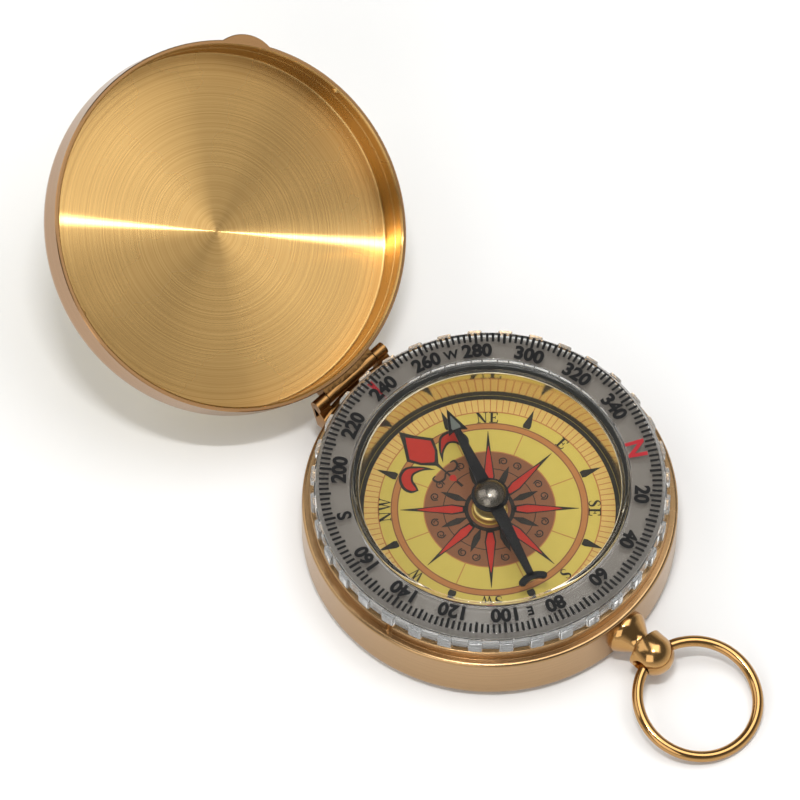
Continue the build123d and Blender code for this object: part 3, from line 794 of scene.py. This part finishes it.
# Clear acrylic: what lies below shows through, and the edges bend light
ACRYLIC = clear_acrylic("clear_acrylic", "#FBFCFB", roughness=0.05)
# Frosted acrylic: the mould's grain leaves a milky edge
FROSTED = clear_acrylic("frosted_acrylic", "#FBFCFB", roughness=0.12, clarity=0.80)
# Window acrylic: polished, so that only its reflections show
WINDOW = clear_acrylic("window_acrylic", "#FDFDFB", roughness=0.0)
# Satin grey paint: an even warm grey with a blurred shine
GREY = coated("satin_grey_paint", "#7B736B", "#6C645D", grain=0.12, roughness=0.45)
# Dial paper: mustard yellow, slightly mottled, with a dull coat
PAPER = coated("dial_paper", "#C6B252", "#B7A242", grain=0.10, roughness=0.55)
# Offset ink in tan, brown and orange: flat colour that keeps the paper's mottle and dull coat
TAN_INK = coated("tan_ink", "#CFB064", "#BE9C50", grain=0.10, roughness=0.55)
BROWN_INK = coated("brown_ink", "#7E4B25", "#693A19", grain=0.10, roughness=0.55)
ORANGE_INK = coated("orange_ink", "#B07438", "#9A5E28", grain=0.10, roughness=0.55)
# Red and dark ink: laid on thicker, so smoother and more even
RED_INK = coated("red_ink", "#B52A1A", "#9C2012", grain=0.10, roughness=0.50, bump=0.05, shine=0.3)
DARK_INK = coated("dark_ink", "#1E1A12", "#12100A", grain=0.10, roughness=0.50, bump=0.05, shine=0.3)
# Screen print in black and red: solid and sharp-edged on the clear plastic
BLACK_PRINT = coated("black_print", "#0B0B0D", "#060607", grain=0.10, roughness=0.50, bump=0.05,
                     shine=0.25)
RED_PRINT = coated("red_print", "#B4202B", "#A01720", grain=0.10, roughness=0.45, bump=0.05, shine=0.3)
# Luminous paint: greenish grey and chalky by day
GLOW = coated("luminous_paint", "#666B66", "#4E534E", grain=0.12, roughness=0.50)
# ABS: dark moulded plastic with a fine grain
PLASTIC = coated("abs_plastic", "#22221F", "#181816", grain=0.20, roughness=0.45)
# Synthetic ruby: deep red and glossy
RUBY = coated("synthetic_ruby", "#A83038", "#8A222A", grain=0.30, roughness=0.08, bump=0.0)
# White floor: matt sheet with hardly any mottle
FLOOR_WHITE = coated("white_floor", "#FBFBFA", "#F8F8F7", grain=4.0, roughness=0.7, bump=0.0)


def around(*crowds):
    """Angles round a turn: even steps, and extra ones crowded about (angle, half width, count)."""
    sets = [np.arange(CUP_STEPS) * 360 / CUP_STEPS]
    sets += [middle + np.linspace(-half, half, extra) for middle, half, extra in crowds]
    return np.unique(np.round(np.concatenate(sets) % 360, 6))


def from_turn(degrees, middle):
    """Signed angle in radians from a middle angle."""
    return np.radians((degrees - middle + 180) % 360 - 180)


def case_notch(r, z, degrees):
    """Upright round grooves on the neck: the near side of a cylinder that stands partly in the wall."""
    out = np.zeros(np.broadcast_shapes(r.shape, degrees.shape))
    centre = NECK_R + DETENT_R - GROOVE_DEPTH
    on_neck = (np.abs(r - NECK_R) < GROOVE_REACH) & (z[:, :1] > CASE_TOP + GROOVE_CLEAR)
    for middle in DETENT_TURNS:
        turn = from_turn(degrees, middle)
        inside = np.clip(DETENT_R ** 2 - (centre * np.sin(turn)) ** 2, 0, None)
        near = np.where(np.abs(turn) < DETENT_NEAR, centre * np.cos(turn) - np.sqrt(inside), NECK_R)
        out += np.where(on_neck & (inside > 0), np.minimum(near - NECK_R, 0), 0)
    return out


def make_case():
    """Drawn cup with a rounded bottom edge, a shoulder and a neck with two snap grooves."""
    profile = rounded([
        (0, 0), (CASE_R, 0, FOOT_ROUND), (CASE_R, CASE_TOP, SHOULDER_ROUND),
        (NECK_R, CASE_TOP, NECK_ROOT_ROUND), (NECK_R, NECK_TOP, NECK_TOP_ROUND),
        (NECK_IN, NECK_TOP, EDGE_ROUND), (NECK_IN, CASE_STEP), (CASE_IN, CASE_STEP),
        (CASE_IN, CASE_FLOOR, FLOOR_ROUND), (0, CASE_FLOOR)])
    turns = around(*((middle, DETENT_SPAN, GROOVE_STEPS) for middle in DETENT_TURNS))
    body = lathe(profile, turns, case_notch, closed=False)
    piece("case_body", "base", [(body, 0)], [CASE_SIDE], ("base_case",))


def lip_swell(degrees):
    """Thumb lip: how far a smaller circle set off the centre stands out of the case's circle."""
    half = LIP_WIDTH / 2
    small = 1 / (2 * LIP_REACH / half ** 2 + 1 / CASE_R)
    centre = CASE_R + LIP_REACH - small
    turn = from_turn(degrees, LIP_TURN)
    reach = np.clip(small ** 2 - (centre * np.sin(turn)) ** 2, 0, None)
    edge = np.where(np.abs(turn) < LIP_NEAR, centre * np.cos(turn) + np.sqrt(reach), 0)
    return np.clip(edge - CASE_R, 0, None)


def lid_bumps(r, z, degrees):
    """Snap bumps: the near side of balls that stand partly in the mouth's wall."""
    out = np.zeros(np.broadcast_shapes(z.shape, degrees.shape))
    centre = LID_MOUTH_R + DETENT_R - BUMP_HEIGHT
    on_wall = np.abs(r - LID_MOUTH_R) < BUMP_REACH
    for middle in DETENT_TURNS:
        turn = from_turn(degrees, middle)
        inside = DETENT_R ** 2 - (centre * np.sin(turn)) ** 2 - (z - LID_MOUTH - BUMP_RISE) ** 2
        near = centre * np.cos(turn) - np.sqrt(np.clip(inside, 0, None))
        on_ball = (inside > 0) & (np.abs(turn) < DETENT_NEAR) & on_wall
        out += np.where(on_ball, np.minimum(near - r, 0), 0)
    return out


def make_lid():
    """Deep cup, worked out shut and then swung open about the hinge.

    The inside is turned flat with a stepped mouth that flares at its edge. The outside has a lip on the
    rim, which falls away over a quarter circle at its top, a big edge round and a brushed face.
    """
    hinge = joint_called("lid_hinge")
    opening = -hinge["range_deg"][1]
    turns = around((LIP_TURN, LIP_SPAN, LIP_STEPS),
                   *((middle, DETENT_SPAN, BUMP_STEPS) for middle in DETENT_TURNS))
    wall = rounded([
        (0, LID_FLOOR), (LID_WALL_R, LID_FLOOR, LID_FLOOR_ROUND),
        (LID_WALL_R, LID_MOUTH_TOP, LID_STEP_ROUND), (LID_MOUTH_R, LID_MOUTH_TOP, LID_STEP_ROUND),
        (LID_MOUTH_R, LID_MOUTH)])
    rows = np.column_stack([np.zeros(BUMP_ROWS), np.linspace(*BUMP_BAND, BUMP_ROWS)])
    mouth = np.concatenate([rows, MOUTH_FLARE]) + [LID_MOUTH_R, LID_MOUTH]
    inside = np.concatenate([wall[:-1], mouth])

    arc = np.linspace(0, math.pi / 2, LIP_ROWS)
    lip_level = LID_MOUTH + LIP_HEIGHT - LIP_ROUND + LIP_ROUND * np.sin(arc)
    lip_share = 1 - LIP_ROUND / LIP_REACH * (1 - np.cos(arc))
    rim = [[CASE_R - RIM_BREAK, LID_MOUTH], [CASE_R, LID_MOUTH + RIM_BREAK]]
    lip = np.column_stack([np.full(LIP_ROWS, CASE_R), lip_level])
    edge = rounded([
        (CASE_R, LID_MOUTH + LIP_HEIGHT), (CASE_R, LID_FACE, LID_EDGE), (0, LID_FACE)], steps=16)[:-1]
    outside = np.concatenate([inside[-1:], rim, lip, edge])
    swell = np.concatenate([[0, 1, 1], lip_share, np.zeros(len(edge))])[:, None] * lip_swell(turns)
    face = np.array([outside[-1], [0, LID_FACE]])

    parts = [
        (lathe(inside, turns, lid_bumps, closed=False), 0),
        (lathe(outside, turns, lambda *_: swell, closed=False), 1),
        (lathe(face, turns, closed=False, flat=True), 2)]
    parts = [(moved(part, lambda p: hinge_turn(p, hinge, opening)), kind) for part, kind in parts]
    piece("lid_cup", "lid", parts, [LID_INSIDE, LID_OUTER, LID_FRONT], ("lid_shell",))


def make_bow():
    """Closed wire ring: a circle of the wire's radius carried round a larger circle, then drooped."""
    swing = joint_called("bow_swing")
    y, z = np.array(swing["pos_m"])[1:] / MM
    wire = polar(BOW_WIRE, np.arange(WIRE_STEPS) * 360 / WIRE_STEPS) + [BOW_MEAN, 0]
    ring = lathe(wire, BOW_STEPS)
    ring = moved(ring, lambda p: hinge_turn(p + [0, y - BOW_MEAN, z], swing, BOW_DROOP))
    piece("bow_wire", "bow", [(ring, 0)], [BUFFED], ("bow_ring",), WIRE_SMOOTH_TO)


def tab_swell(degrees):
    """Grip tabs: flat-topped, with rounded upright edges and steep sides, repeated round the skirt."""
    step = 360 / TAB_COUNT
    off = (degrees - BEZEL_TURN + step / 2) % step - step / 2
    across = np.abs(np.radians(off) * (BEZEL_SKIRT + TAB_REACH))
    fall = np.clip(across - (TAB_HALF - TAB_ROUND), 0, TAB_ROUND)
    top = TAB_REACH - TAB_ROUND + np.sqrt(TAB_ROUND ** 2 - fall ** 2)
    return np.where(across < TAB_HALF + TAB_SLACK, top, 0)


def make_bezel():
    """Clear ring with a bevelled top edge and grip tabs that stand out of its frosted skirt.

    Each tab falls away over a quarter circle at its top, so its rows take a falling share of its reach.
    """
    spots = np.array(TAB_SPOTS)
    offsets = np.degrees(np.concatenate([-spots[:0:-1], spots]) / (BEZEL_SKIRT + TAB_REACH))
    turns = (BEZEL_TURN + np.arange(TAB_COUNT)[:, None] * 360 / TAB_COUNT + offsets).ravel()
    turns = np.unique(np.round(turns % 360, 6))
    arc = np.linspace(0, math.pi / 2, TAB_ROWS)
    tab_level = TAB_TOP - TAB_ROUND + TAB_ROUND * np.sin(arc)
    tab_share = 1 - TAB_ROUND / TAB_REACH * (1 - np.cos(arc))
    levels = np.concatenate([[BEZEL_LOW + SKIRT_BREAK], tab_level, [TAB_TOP]])
    tabs = np.column_stack([np.full(len(levels), BEZEL_SKIRT), levels])
    upper = rounded([
        (BEZEL_SKIRT, TAB_TOP), (BEZEL_SKIRT, BEZEL_BEVEL_LOW, BEZEL_BEVEL_ROUND),
        (BEZEL_SKIRT - BEZEL_BEVEL, BEZEL_TOP, BEZEL_TOP_ROUND),
        (BEZEL_HOLE, BEZEL_TOP, BEZEL_TOP_ROUND), (BEZEL_HOLE, BEZEL_UNDER, FINE_ROUND),
        (BEZEL_IN, BEZEL_UNDER, EDGE_ROUND), (BEZEL_IN, BEZEL_LIP_TOP, FINE_ROUND),
        (BEZEL_LIP, BEZEL_LIP_TOP, FINE_ROUND), (BEZEL_LIP, BEZEL_LOW, FINE_ROUND),
        (BEZEL_SKIRT, BEZEL_LOW)], steps=4)[1:-1]
    profile = np.concatenate([tabs, upper, [[BEZEL_SKIRT - SKIRT_BREAK, BEZEL_LOW]]])
    share = np.concatenate([[1], tab_share, [0], np.zeros(len(upper)), [1]])
    swell = share[:, None] * tab_swell(turns)
    rows = np.arange(len(profile))
    skirt, rest = np.r_[rows[-1], rows[:len(tabs) + 1]], rows[len(tabs):]
    parts = [(lathe(profile[run], turns, lambda *_: swell[run], closed=False), kind)
             for kind, run in enumerate((rest, skirt))]
    piece("bezel_clear", "bezel", parts, [ACRYLIC, FROSTED], ("bezel_ring",))


def make_bezel_print():
    """Degree scale on the bezel's top: strokes each two degrees, figures each twenty, quarter letters."""
    ink = ink_on(BEZEL_TOP)
    marks, tens = (BEZEL_TURN - np.arange(0, 360, step) for step in (2.0, 10.0))
    black = [rays(*TICK, np.setdiff1d(marks, tens), *ink), rays(*TICK_LONG, tens, *ink)]
    for value in range(20, 360, 20):
        if value != 180:
            shape = figure(str(value), FIGURE_HIGH, FIGURE_WEIGHT, *ink)
            black.append(moved(shape, lambda p: bent(p, FIGURE_R, BEZEL_TURN - value)))
    for letter, value, height in QUARTERS:
        shape = figure(letter, height, LETTER_WEIGHT, *ink)
        black.append(moved(shape, lambda p: bent(p, LETTER_R, BEZEL_TURN - value)))
    north = moved(figure("N", NORTH_HIGH, NORTH_WEIGHT, *ink), lambda p: bent(p, LETTER_R, BEZEL_TURN))
    printed("bezel_figures", "bezel", black, BLACK_PRINT)
    printed("bezel_north", "bezel", [north], RED_PRINT)


def make_plate():
    """Grey ring under the bezel, with the red index mark at the hinge."""
    profile = rounded([
        (PLATE_OUT, PLATE_LOW, FINE_ROUND), (PLATE_OUT, PLATE_TOP, SMALL_ROUND),
        (PLATE_IN, PLATE_TOP, EDGE_ROUND), (PLATE_IN, PLATE_LOW, FINE_ROUND)], steps=4)
    piece("plate_ring", "base", [(lathe(profile, RING_STEPS), 0)], [GREY], ("index_plate",))
    mark = rays(*INDEX_MARK, [HINGE_TURN], *ink_on(PLATE_TOP))
    printed("index_mark", "base", [mark], RED_PRINT)


def make_crystal():
    """Clear window with a rounded edge and a short wall below it."""
    outside = rounded([
        (CRYSTAL_IN, PLATE_LOW), (CRYSTAL_R, PLATE_LOW, FINE_ROUND),
        (CRYSTAL_R, CRYSTAL_TOP, CRYSTAL_ROUND), (0, CRYSTAL_TOP)], steps=8)
    under = rounded([
        (0, CRYSTAL_UNDER), (CRYSTAL_IN, CRYSTAL_UNDER, EDGE_ROUND), (CRYSTAL_IN, PLATE_LOW)], steps=4)
    parts = [(lathe(side, RING_STEPS, closed=False), 0) for side in (outside, under)]
    piece("crystal_window", "base", parts, [WINDOW], ("crystal",))


def make_well():
    """Bright ring that walls the dial in, and the dished brass boss at its centre."""
    wall = rounded([
        (WELL_R, DIAL_TOP), (WELL_OUT, DIAL_TOP), (WELL_OUT, PLATE_LOW, FINE_ROUND),
        (WELL_R, PLATE_LOW, SMALL_ROUND)], steps=4)
    piece("well_wall", "base", [(lathe(wall, RING_STEPS), 0)], [MIRROR], ("well_ring",))
    dish, foot = SEAT_TOP - DISH_DEPTH, SEAT_LOW + PIN_FOOT
    boss = rounded([
        (0, SEAT_LOW), (SHANK_R, SEAT_LOW), (SHANK_R, DIAL_TOP), (SEAT_R, DIAL_TOP),
        (SEAT_R, SEAT_TOP, SEAT_ROUND), (DISH_OUT, SEAT_TOP, EDGE_ROUND), (DISH_IN, dish, EDGE_ROUND),
        (PIN_R, dish), (PIN_R, foot), (0, foot)])
    boss = lathe(boss, SMALL_STEPS, closed=False)
    # The boss's pale brass is painted light against the cap's shade
    piece("pivot_boss", "base", [(boss, 0)], [SATIN_LIT_BRASS], ("pivot_seat",))


def serif_word(word, height, radius, degrees, low, high):
    """Roman capitals set side by side, centred, scaled to the height and bent round the dial."""
    parts, pen = [], 0.0
    for letter in word:
        if letter == "S":
            shape = band(*stroke(S_LINE, S_WIDTH, LINE_STEPS), low, high)
        else:
            corners = np.array(GLYPHS[letter])
            shape = band(corners[:, [0, 3]], corners[:, [1, 2]], low, high)
        parts.append(moved(shape, lambda p: p + [pen, 0, 0]))
        pen += GLYPH_WIDTH[letter] + GLYPH_GAP
    middle = np.array([(pen - GLYPH_GAP) / 2, 0.5, 0])
    size = np.array([height, height, 1])
    return [moved(part, lambda p: bent((p - middle) * size, radius, degrees)) for part in parts]


def make_dial():
    """Printed card: rings and fields, strokes each three degrees, letters, an eight-point rose, a lily.

    Later coats lie on earlier ones: fields, lines, dark outlines and red fills.
    """
    card = rounded([(SHANK_R, DIAL_LOW), (WELL_OUT, DIAL_LOW), (WELL_OUT, DIAL_TOP), (SHANK_R, DIAL_TOP)])
    piece("dial_face", "base", [(lathe(card, RING_STEPS), 0)], [PAPER], ("dial_card",))
    fields, lines, outline, fill = (ink_on(DIAL_TOP, coat) for coat in range(4))
    octants = np.arange(0, 360, 45.0)
    between = octants + 22.5
    points = np.setdiff1d(octants, [NORTH_TURN])

    tan = [hoop(*TAN_FIELD, *fields)]
    brown = [hoop(*ROSE_FIELD, *fields)] + [hoop(*edge, *lines) for edge in BAND_EDGES]
    orange = [
        hoop(*TAN_EDGE, *lines), hoop(*ROSE_EDGE, *lines), hoop(*BAND_FIELD, *fields),
        rays(*MINUTE, np.arange(1.5, 360, 3.0), *lines), rays(*SPOKE, between, *lines)]
    dark = [
        hoop(*BORDER, *fields), hoop(*HUB_RING, *outline), hoop(*ROSE_LINE, *lines),
        rays(*POINTER, between, *outline), rays(*LONG_POINT, points, *outline),
        rays(*SHORT_POINT, between, *outline)]
    red = [rays(*LONG_POINT_FILL, points, *fill)]

    winding = np.linspace(0, 1, COIL_SPOTS)
    coil = polar(COIL_R - COIL_CLOSING * winding, COIL_SWEEP * winding + COIL_START) + COIL_PLACE
    coil_width = COIL_WIDTH - COIL_THINNING * winding
    for side in (np.array, mirrored):
        edges = stroke(side(coil), coil_width, LINE_STEPS)
        dark.append(band(*(spread(edge, between) for edge in edges), *lines))
    for word, degrees in WORDS:
        dark += serif_word(word, WORD_HIGH, WORD_R, degrees, *outline)

    # Lily: a leaf between two petals and two curls on a thin stalk, in dark outline with red inside
    dark.append(band(mirrored(LEAF), LEAF, *outline))
    red += [band(mirrored(shape), shape, *fill) for shape in (LEAF_FILL, HEART)]
    for side in (np.array, mirrored):
        dark.append(band(*(side(flowing(edge, LINE_STEPS)) for edge in PETAL), *outline))
        red.append(band(*(side(flowing(edge, LINE_STEPS)) for edge in PETAL_FILL), *fill))
        dark.append(band(*stroke(side(CURL), CURL_WIDTH), *outline))

    printed("dial_tan_print", "base", tan, TAN_INK)
    printed("dial_brown_print", "base", brown, BROWN_INK)
    printed("dial_orange_print", "base", orange, ORANGE_INK)
    printed("dial_dark_print", "base", dark, DARK_INK)
    printed("dial_red_print", "base", red, RED_INK)


def make_needle():
    """Stamped blade with an arrow head and a crescent tail, a pad of luminous paint, and the domed cap.

    The crescent is a bar bent round a circle with half-round ends, and the dome is part of a sphere.
    """
    turn = [NEEDLE_TURN]
    levels = NEEDLE_LOW, NEEDLE_TOP
    head = NEEDLE_TIP - NEEDLE_HEAD
    barb = np.array([(0.0, NEEDLE_TIP), (NEEDLE_HEAD_HALF, head - NEEDLE_BARB), (0.0, head + HEAD_NOTCH)])
    wings = [band(spread(barb[[0, 1]] * [side, 1], turn), spread(barb[[0, 2]], turn), *levels)
             for side in (-1, 1)]
    middle = NEEDLE_TAIL - FLUKE_BAR / 2
    shaft = rays([-middle, 0.0, head + SHAFT_INTO_HEAD],
                 [NEEDLE_END_HALF, NEEDLE_ROOT_HALF, NEEDLE_END_HALF], turn, *levels)
    end_bend = math.degrees(FLUKE_BAR / 2 / FLUKE_R)
    bend = np.linspace(-1, 1, FLUKE_STEPS) * (FLUKE_BEND + end_bend)
    over = np.clip((np.abs(bend) - FLUKE_BEND) / end_bend, 0, 1)
    half = (FLUKE_BAR / 2 * np.sqrt(1 - over ** 2))[:, None]
    line = polar(1.0, 90 - bend)
    centre = np.array([0, -middle - FLUKE_R])
    outer, inner = (line * (FLUKE_R + side * half) + centre for side in (1, -1))
    fluke = band(spread(outer, turn), spread(inner, turn), *levels)
    hub = hoop(CAP_TUBE + HUB_FIT, HUB_R, *levels, turns=SMALL_STEPS)
    pad = rays([head, head + PAD_WIDEST, NEEDLE_TIP - PAD_SHORT], PAD_HALVES, turn,
               NEEDLE_TOP, NEEDLE_TOP + PAD_THICK)
    parts = [(part, 0) for part in (*wings, shaft, fluke, hub)] + [(pad, 1)]
    piece("needle_plate", "needle", parts, [BLACKED, GLOW], ("needle_blade",))

    rise = CAP_TOP - NEEDLE_TOP - CAP_RIM
    sphere = (CAP_R ** 2 + rise ** 2) / (2 * rise)
    lean = np.linspace(math.asin(CAP_R / sphere), 0, DOME_ROWS)
    dome = np.column_stack([sphere * np.sin(lean), CAP_TOP - sphere + sphere * np.cos(lean)])
    low = rounded([
        (0, CAP_TOP - CAP_WALL), (CAP_BORE, CAP_TOP - CAP_WALL), (CAP_BORE, CAP_LOW), (CAP_TUBE, CAP_LOW),
        (CAP_TUBE, NEEDLE_TOP), (CAP_R, NEEDLE_TOP, CAP_RIM_ROUND), (CAP_R, NEEDLE_TOP + CAP_RIM)])
    cap = lathe(np.concatenate([low, dome[1:]]), SMALL_STEPS, closed=False)
    piece("needle_dome", "needle", [(cap, 0)], [NICKEL], ("needle_cap",))


make_case()
make_lid()
make_bow()
make_bezel()
make_bezel_print()
make_plate()
make_crystal()
make_well()
make_dial()
make_needle()
dressed("pendant_stem", "base", BUFFED, SMALL_ROUND)
# The hinge pieces take brass darkened as painted shade
dressed("case_hinge_leaf", "base", SHADED_HINGE_BRASS)
dressed("lid_hinge_leaf", "lid", SHADED_HINGE_BRASS)
dressed("hinge_pin", "base", SHADED_HINGE_BRASS, EDGE_ROUND)

# Inner pieces keep their solids and only get a finish
INNER_FINISHES = {
    "dial_carrier": PLASTIC, "pendant_screw": STEEL, "pivot_pin": STEEL, "needle_jewel": RUBY}
for node, material in INNER_FINISHES.items():
    frame["nodes"][node].data.materials.clear()
    frame["nodes"][node].data.materials.append(material)

# Camera at the photograph's viewing angle: azimuth, elevation and roll in degrees, its distance in
# metres, and the point it aims at in mm from the case's middle along the image's right and up
CAMERA_AZIMUTH = -46.79
CAMERA_ELEVATION = 60.48
CAMERA_ROLL = 0.98
CAMERA_AWAY = 1.667
AIM_RIGHT = -11.88
AIM_UP = 17.47
VIEW_PIXELS_PER_MM = 7.496
IMAGE_SIZE = 800
SENSOR = 36.0
SIGHT = 20.0

azimuth, elevation, roll = np.radians([CAMERA_AZIMUTH, CAMERA_ELEVATION, CAMERA_ROLL])
level_right = np.array([math.cos(azimuth), math.sin(azimuth), 0.0])
level_back = np.array([math.sin(azimuth), -math.cos(azimuth), 0.0])
back = level_back * math.cos(elevation) + np.array([0.0, 0.0, math.sin(elevation)])
image_right = math.cos(roll) * level_right + math.sin(roll) * np.cross(back, level_right)
image_up = np.cross(back, image_right)
aim = (image_right * AIM_RIGHT + image_up * AIM_UP) * MM


def facing(right, out, spot):
    """Matrix that sets an object at a spot with its X along right and its back along out."""
    turn = np.eye(4)
    turn[:3, :4] = np.column_stack([right, np.cross(out, right), out, spot])
    return Matrix(turn.tolist())


camera = bpy.data.objects.new("camera", bpy.data.cameras.new("camera"))
bpy.context.scene.collection.objects.link(camera)
camera.data.sensor_width = SENSOR
camera.data.lens = VIEW_PIXELS_PER_MM * CAMERA_AWAY / MM * SENSOR / IMAGE_SIZE
camera.data.clip_end = SIGHT
camera.matrix_world = facing(image_right, back, aim + back * CAMERA_AWAY)
bpy.context.scene.camera = camera

# Light, in metres: what the lamps face, the way that the open lid's inside looks, how far the strip
# stands above the camera, and how far the lid's sheen is moved up and left of the camera's mirror image
CASE_MIDDLE = (0.0, 0.012, 0.005)
HINGE_SIDE = (0.0, 0.03, 0.01)
LID_MIDDLE = (0.0, 0.0508, 0.0184)
LID_LOOKS = np.array([0.0, -0.5, 0.866])
STRIP_ABOVE = 0.325
SHEEN_UP = 0.08
SHEEN_LEFT = 0.28


def lamp(name, direction, away, wide, tall, watts, target=CASE_MIDDLE):
    """Soft rectangular lamp on a direction from its target, facing it, wide along the image's right."""
    light = bpy.data.lights.new(name, "AREA")
    light.shape = "RECTANGLE"
    light.size, light.size_y = wide, tall
    light.energy = watts
    thing = bpy.data.objects.new(name, light)
    bpy.context.scene.collection.objects.link(thing)
    out = unit(np.array(direction, float))
    side = unit(image_right - out * (image_right @ out))
    thing.matrix_world = facing(side, out, np.array(target) + out * away)


strip_way = back + image_up * STRIP_ABOVE
sheen_way = 2 * (back @ LID_LOOKS) * LID_LOOKS - back + image_up * SHEEN_UP - image_right * SHEEN_LEFT
lamp("key_strip", strip_way, away=0.80, wide=0.14, tall=0.016, watts=2.0, target=HINGE_SIDE)
lamp("soft_top", (0.20, -0.04, 0.98), away=0.90, wide=0.66, tall=0.66, watts=2.6)
lamp("soft_left", (-1.0, -0.35, 0.75), away=0.90, wide=0.60, tall=0.60, watts=2.0)
lamp("soft_back", (-0.45, 0.75, 0.75), away=0.90, wide=0.70, tall=0.70, watts=2.1)
lamp("soft_front", sheen_way, away=0.25, wide=0.18, tall=0.18, watts=0.10, target=LID_MIDDLE)

# Room: pale and bright near the horizon, dimmer overhead; heights are shares of a look straight up
ROOM_COLOUR = "#FAF9F7"
HORIZON, OVERHEAD = 0.06, 0.45
HORIZON_LIGHT, OVERHEAD_LIGHT = 0.92, 0.16

world = bpy.data.worlds.new("studio")
bpy.context.scene.world = world
world.use_nodes = True
room = world.node_tree
room.nodes.clear()
look = add(room, "ShaderNodeTexCoord").outputs["Generated"]
height = add(room, "ShaderNodeSeparateXYZ", {"Vector": look}).outputs["Z"]
light_level = add(room, "ShaderNodeMapRange", {
    "Value": height, "From Min": HORIZON, "From Max": OVERHEAD,
    "To Min": HORIZON_LIGHT, "To Max": OVERHEAD_LIGHT})
air = add(room, "ShaderNodeBackground", {"Color": rgb(ROOM_COLOUR), "Strength": light_level})
add(room, "ShaderNodeOutputWorld", {"Surface": air})

# Floor, in metres: a square that lies just below the case, so that the two don't share a plane
FLOOR_HALF = 1.6
FLOOR_DROP = 0.00002

corners = np.array([(-1, -1, 0), (1, -1, 0), (1, 1, 0), (-1, 1, 0)]) * FLOOR_HALF - [0, 0, FLOOR_DROP]
sheet = bpy.data.meshes.new("floor")
sheet.from_pydata(corners, [], [(0, 1, 2, 3)])
sheet.materials.append(FLOOR_WHITE)
floor = bpy.data.objects.new("floor", sheet)
bpy.context.scene.collection.objects.link(floor)

bpy.context.scene.view_settings.view_transform = "Standard"
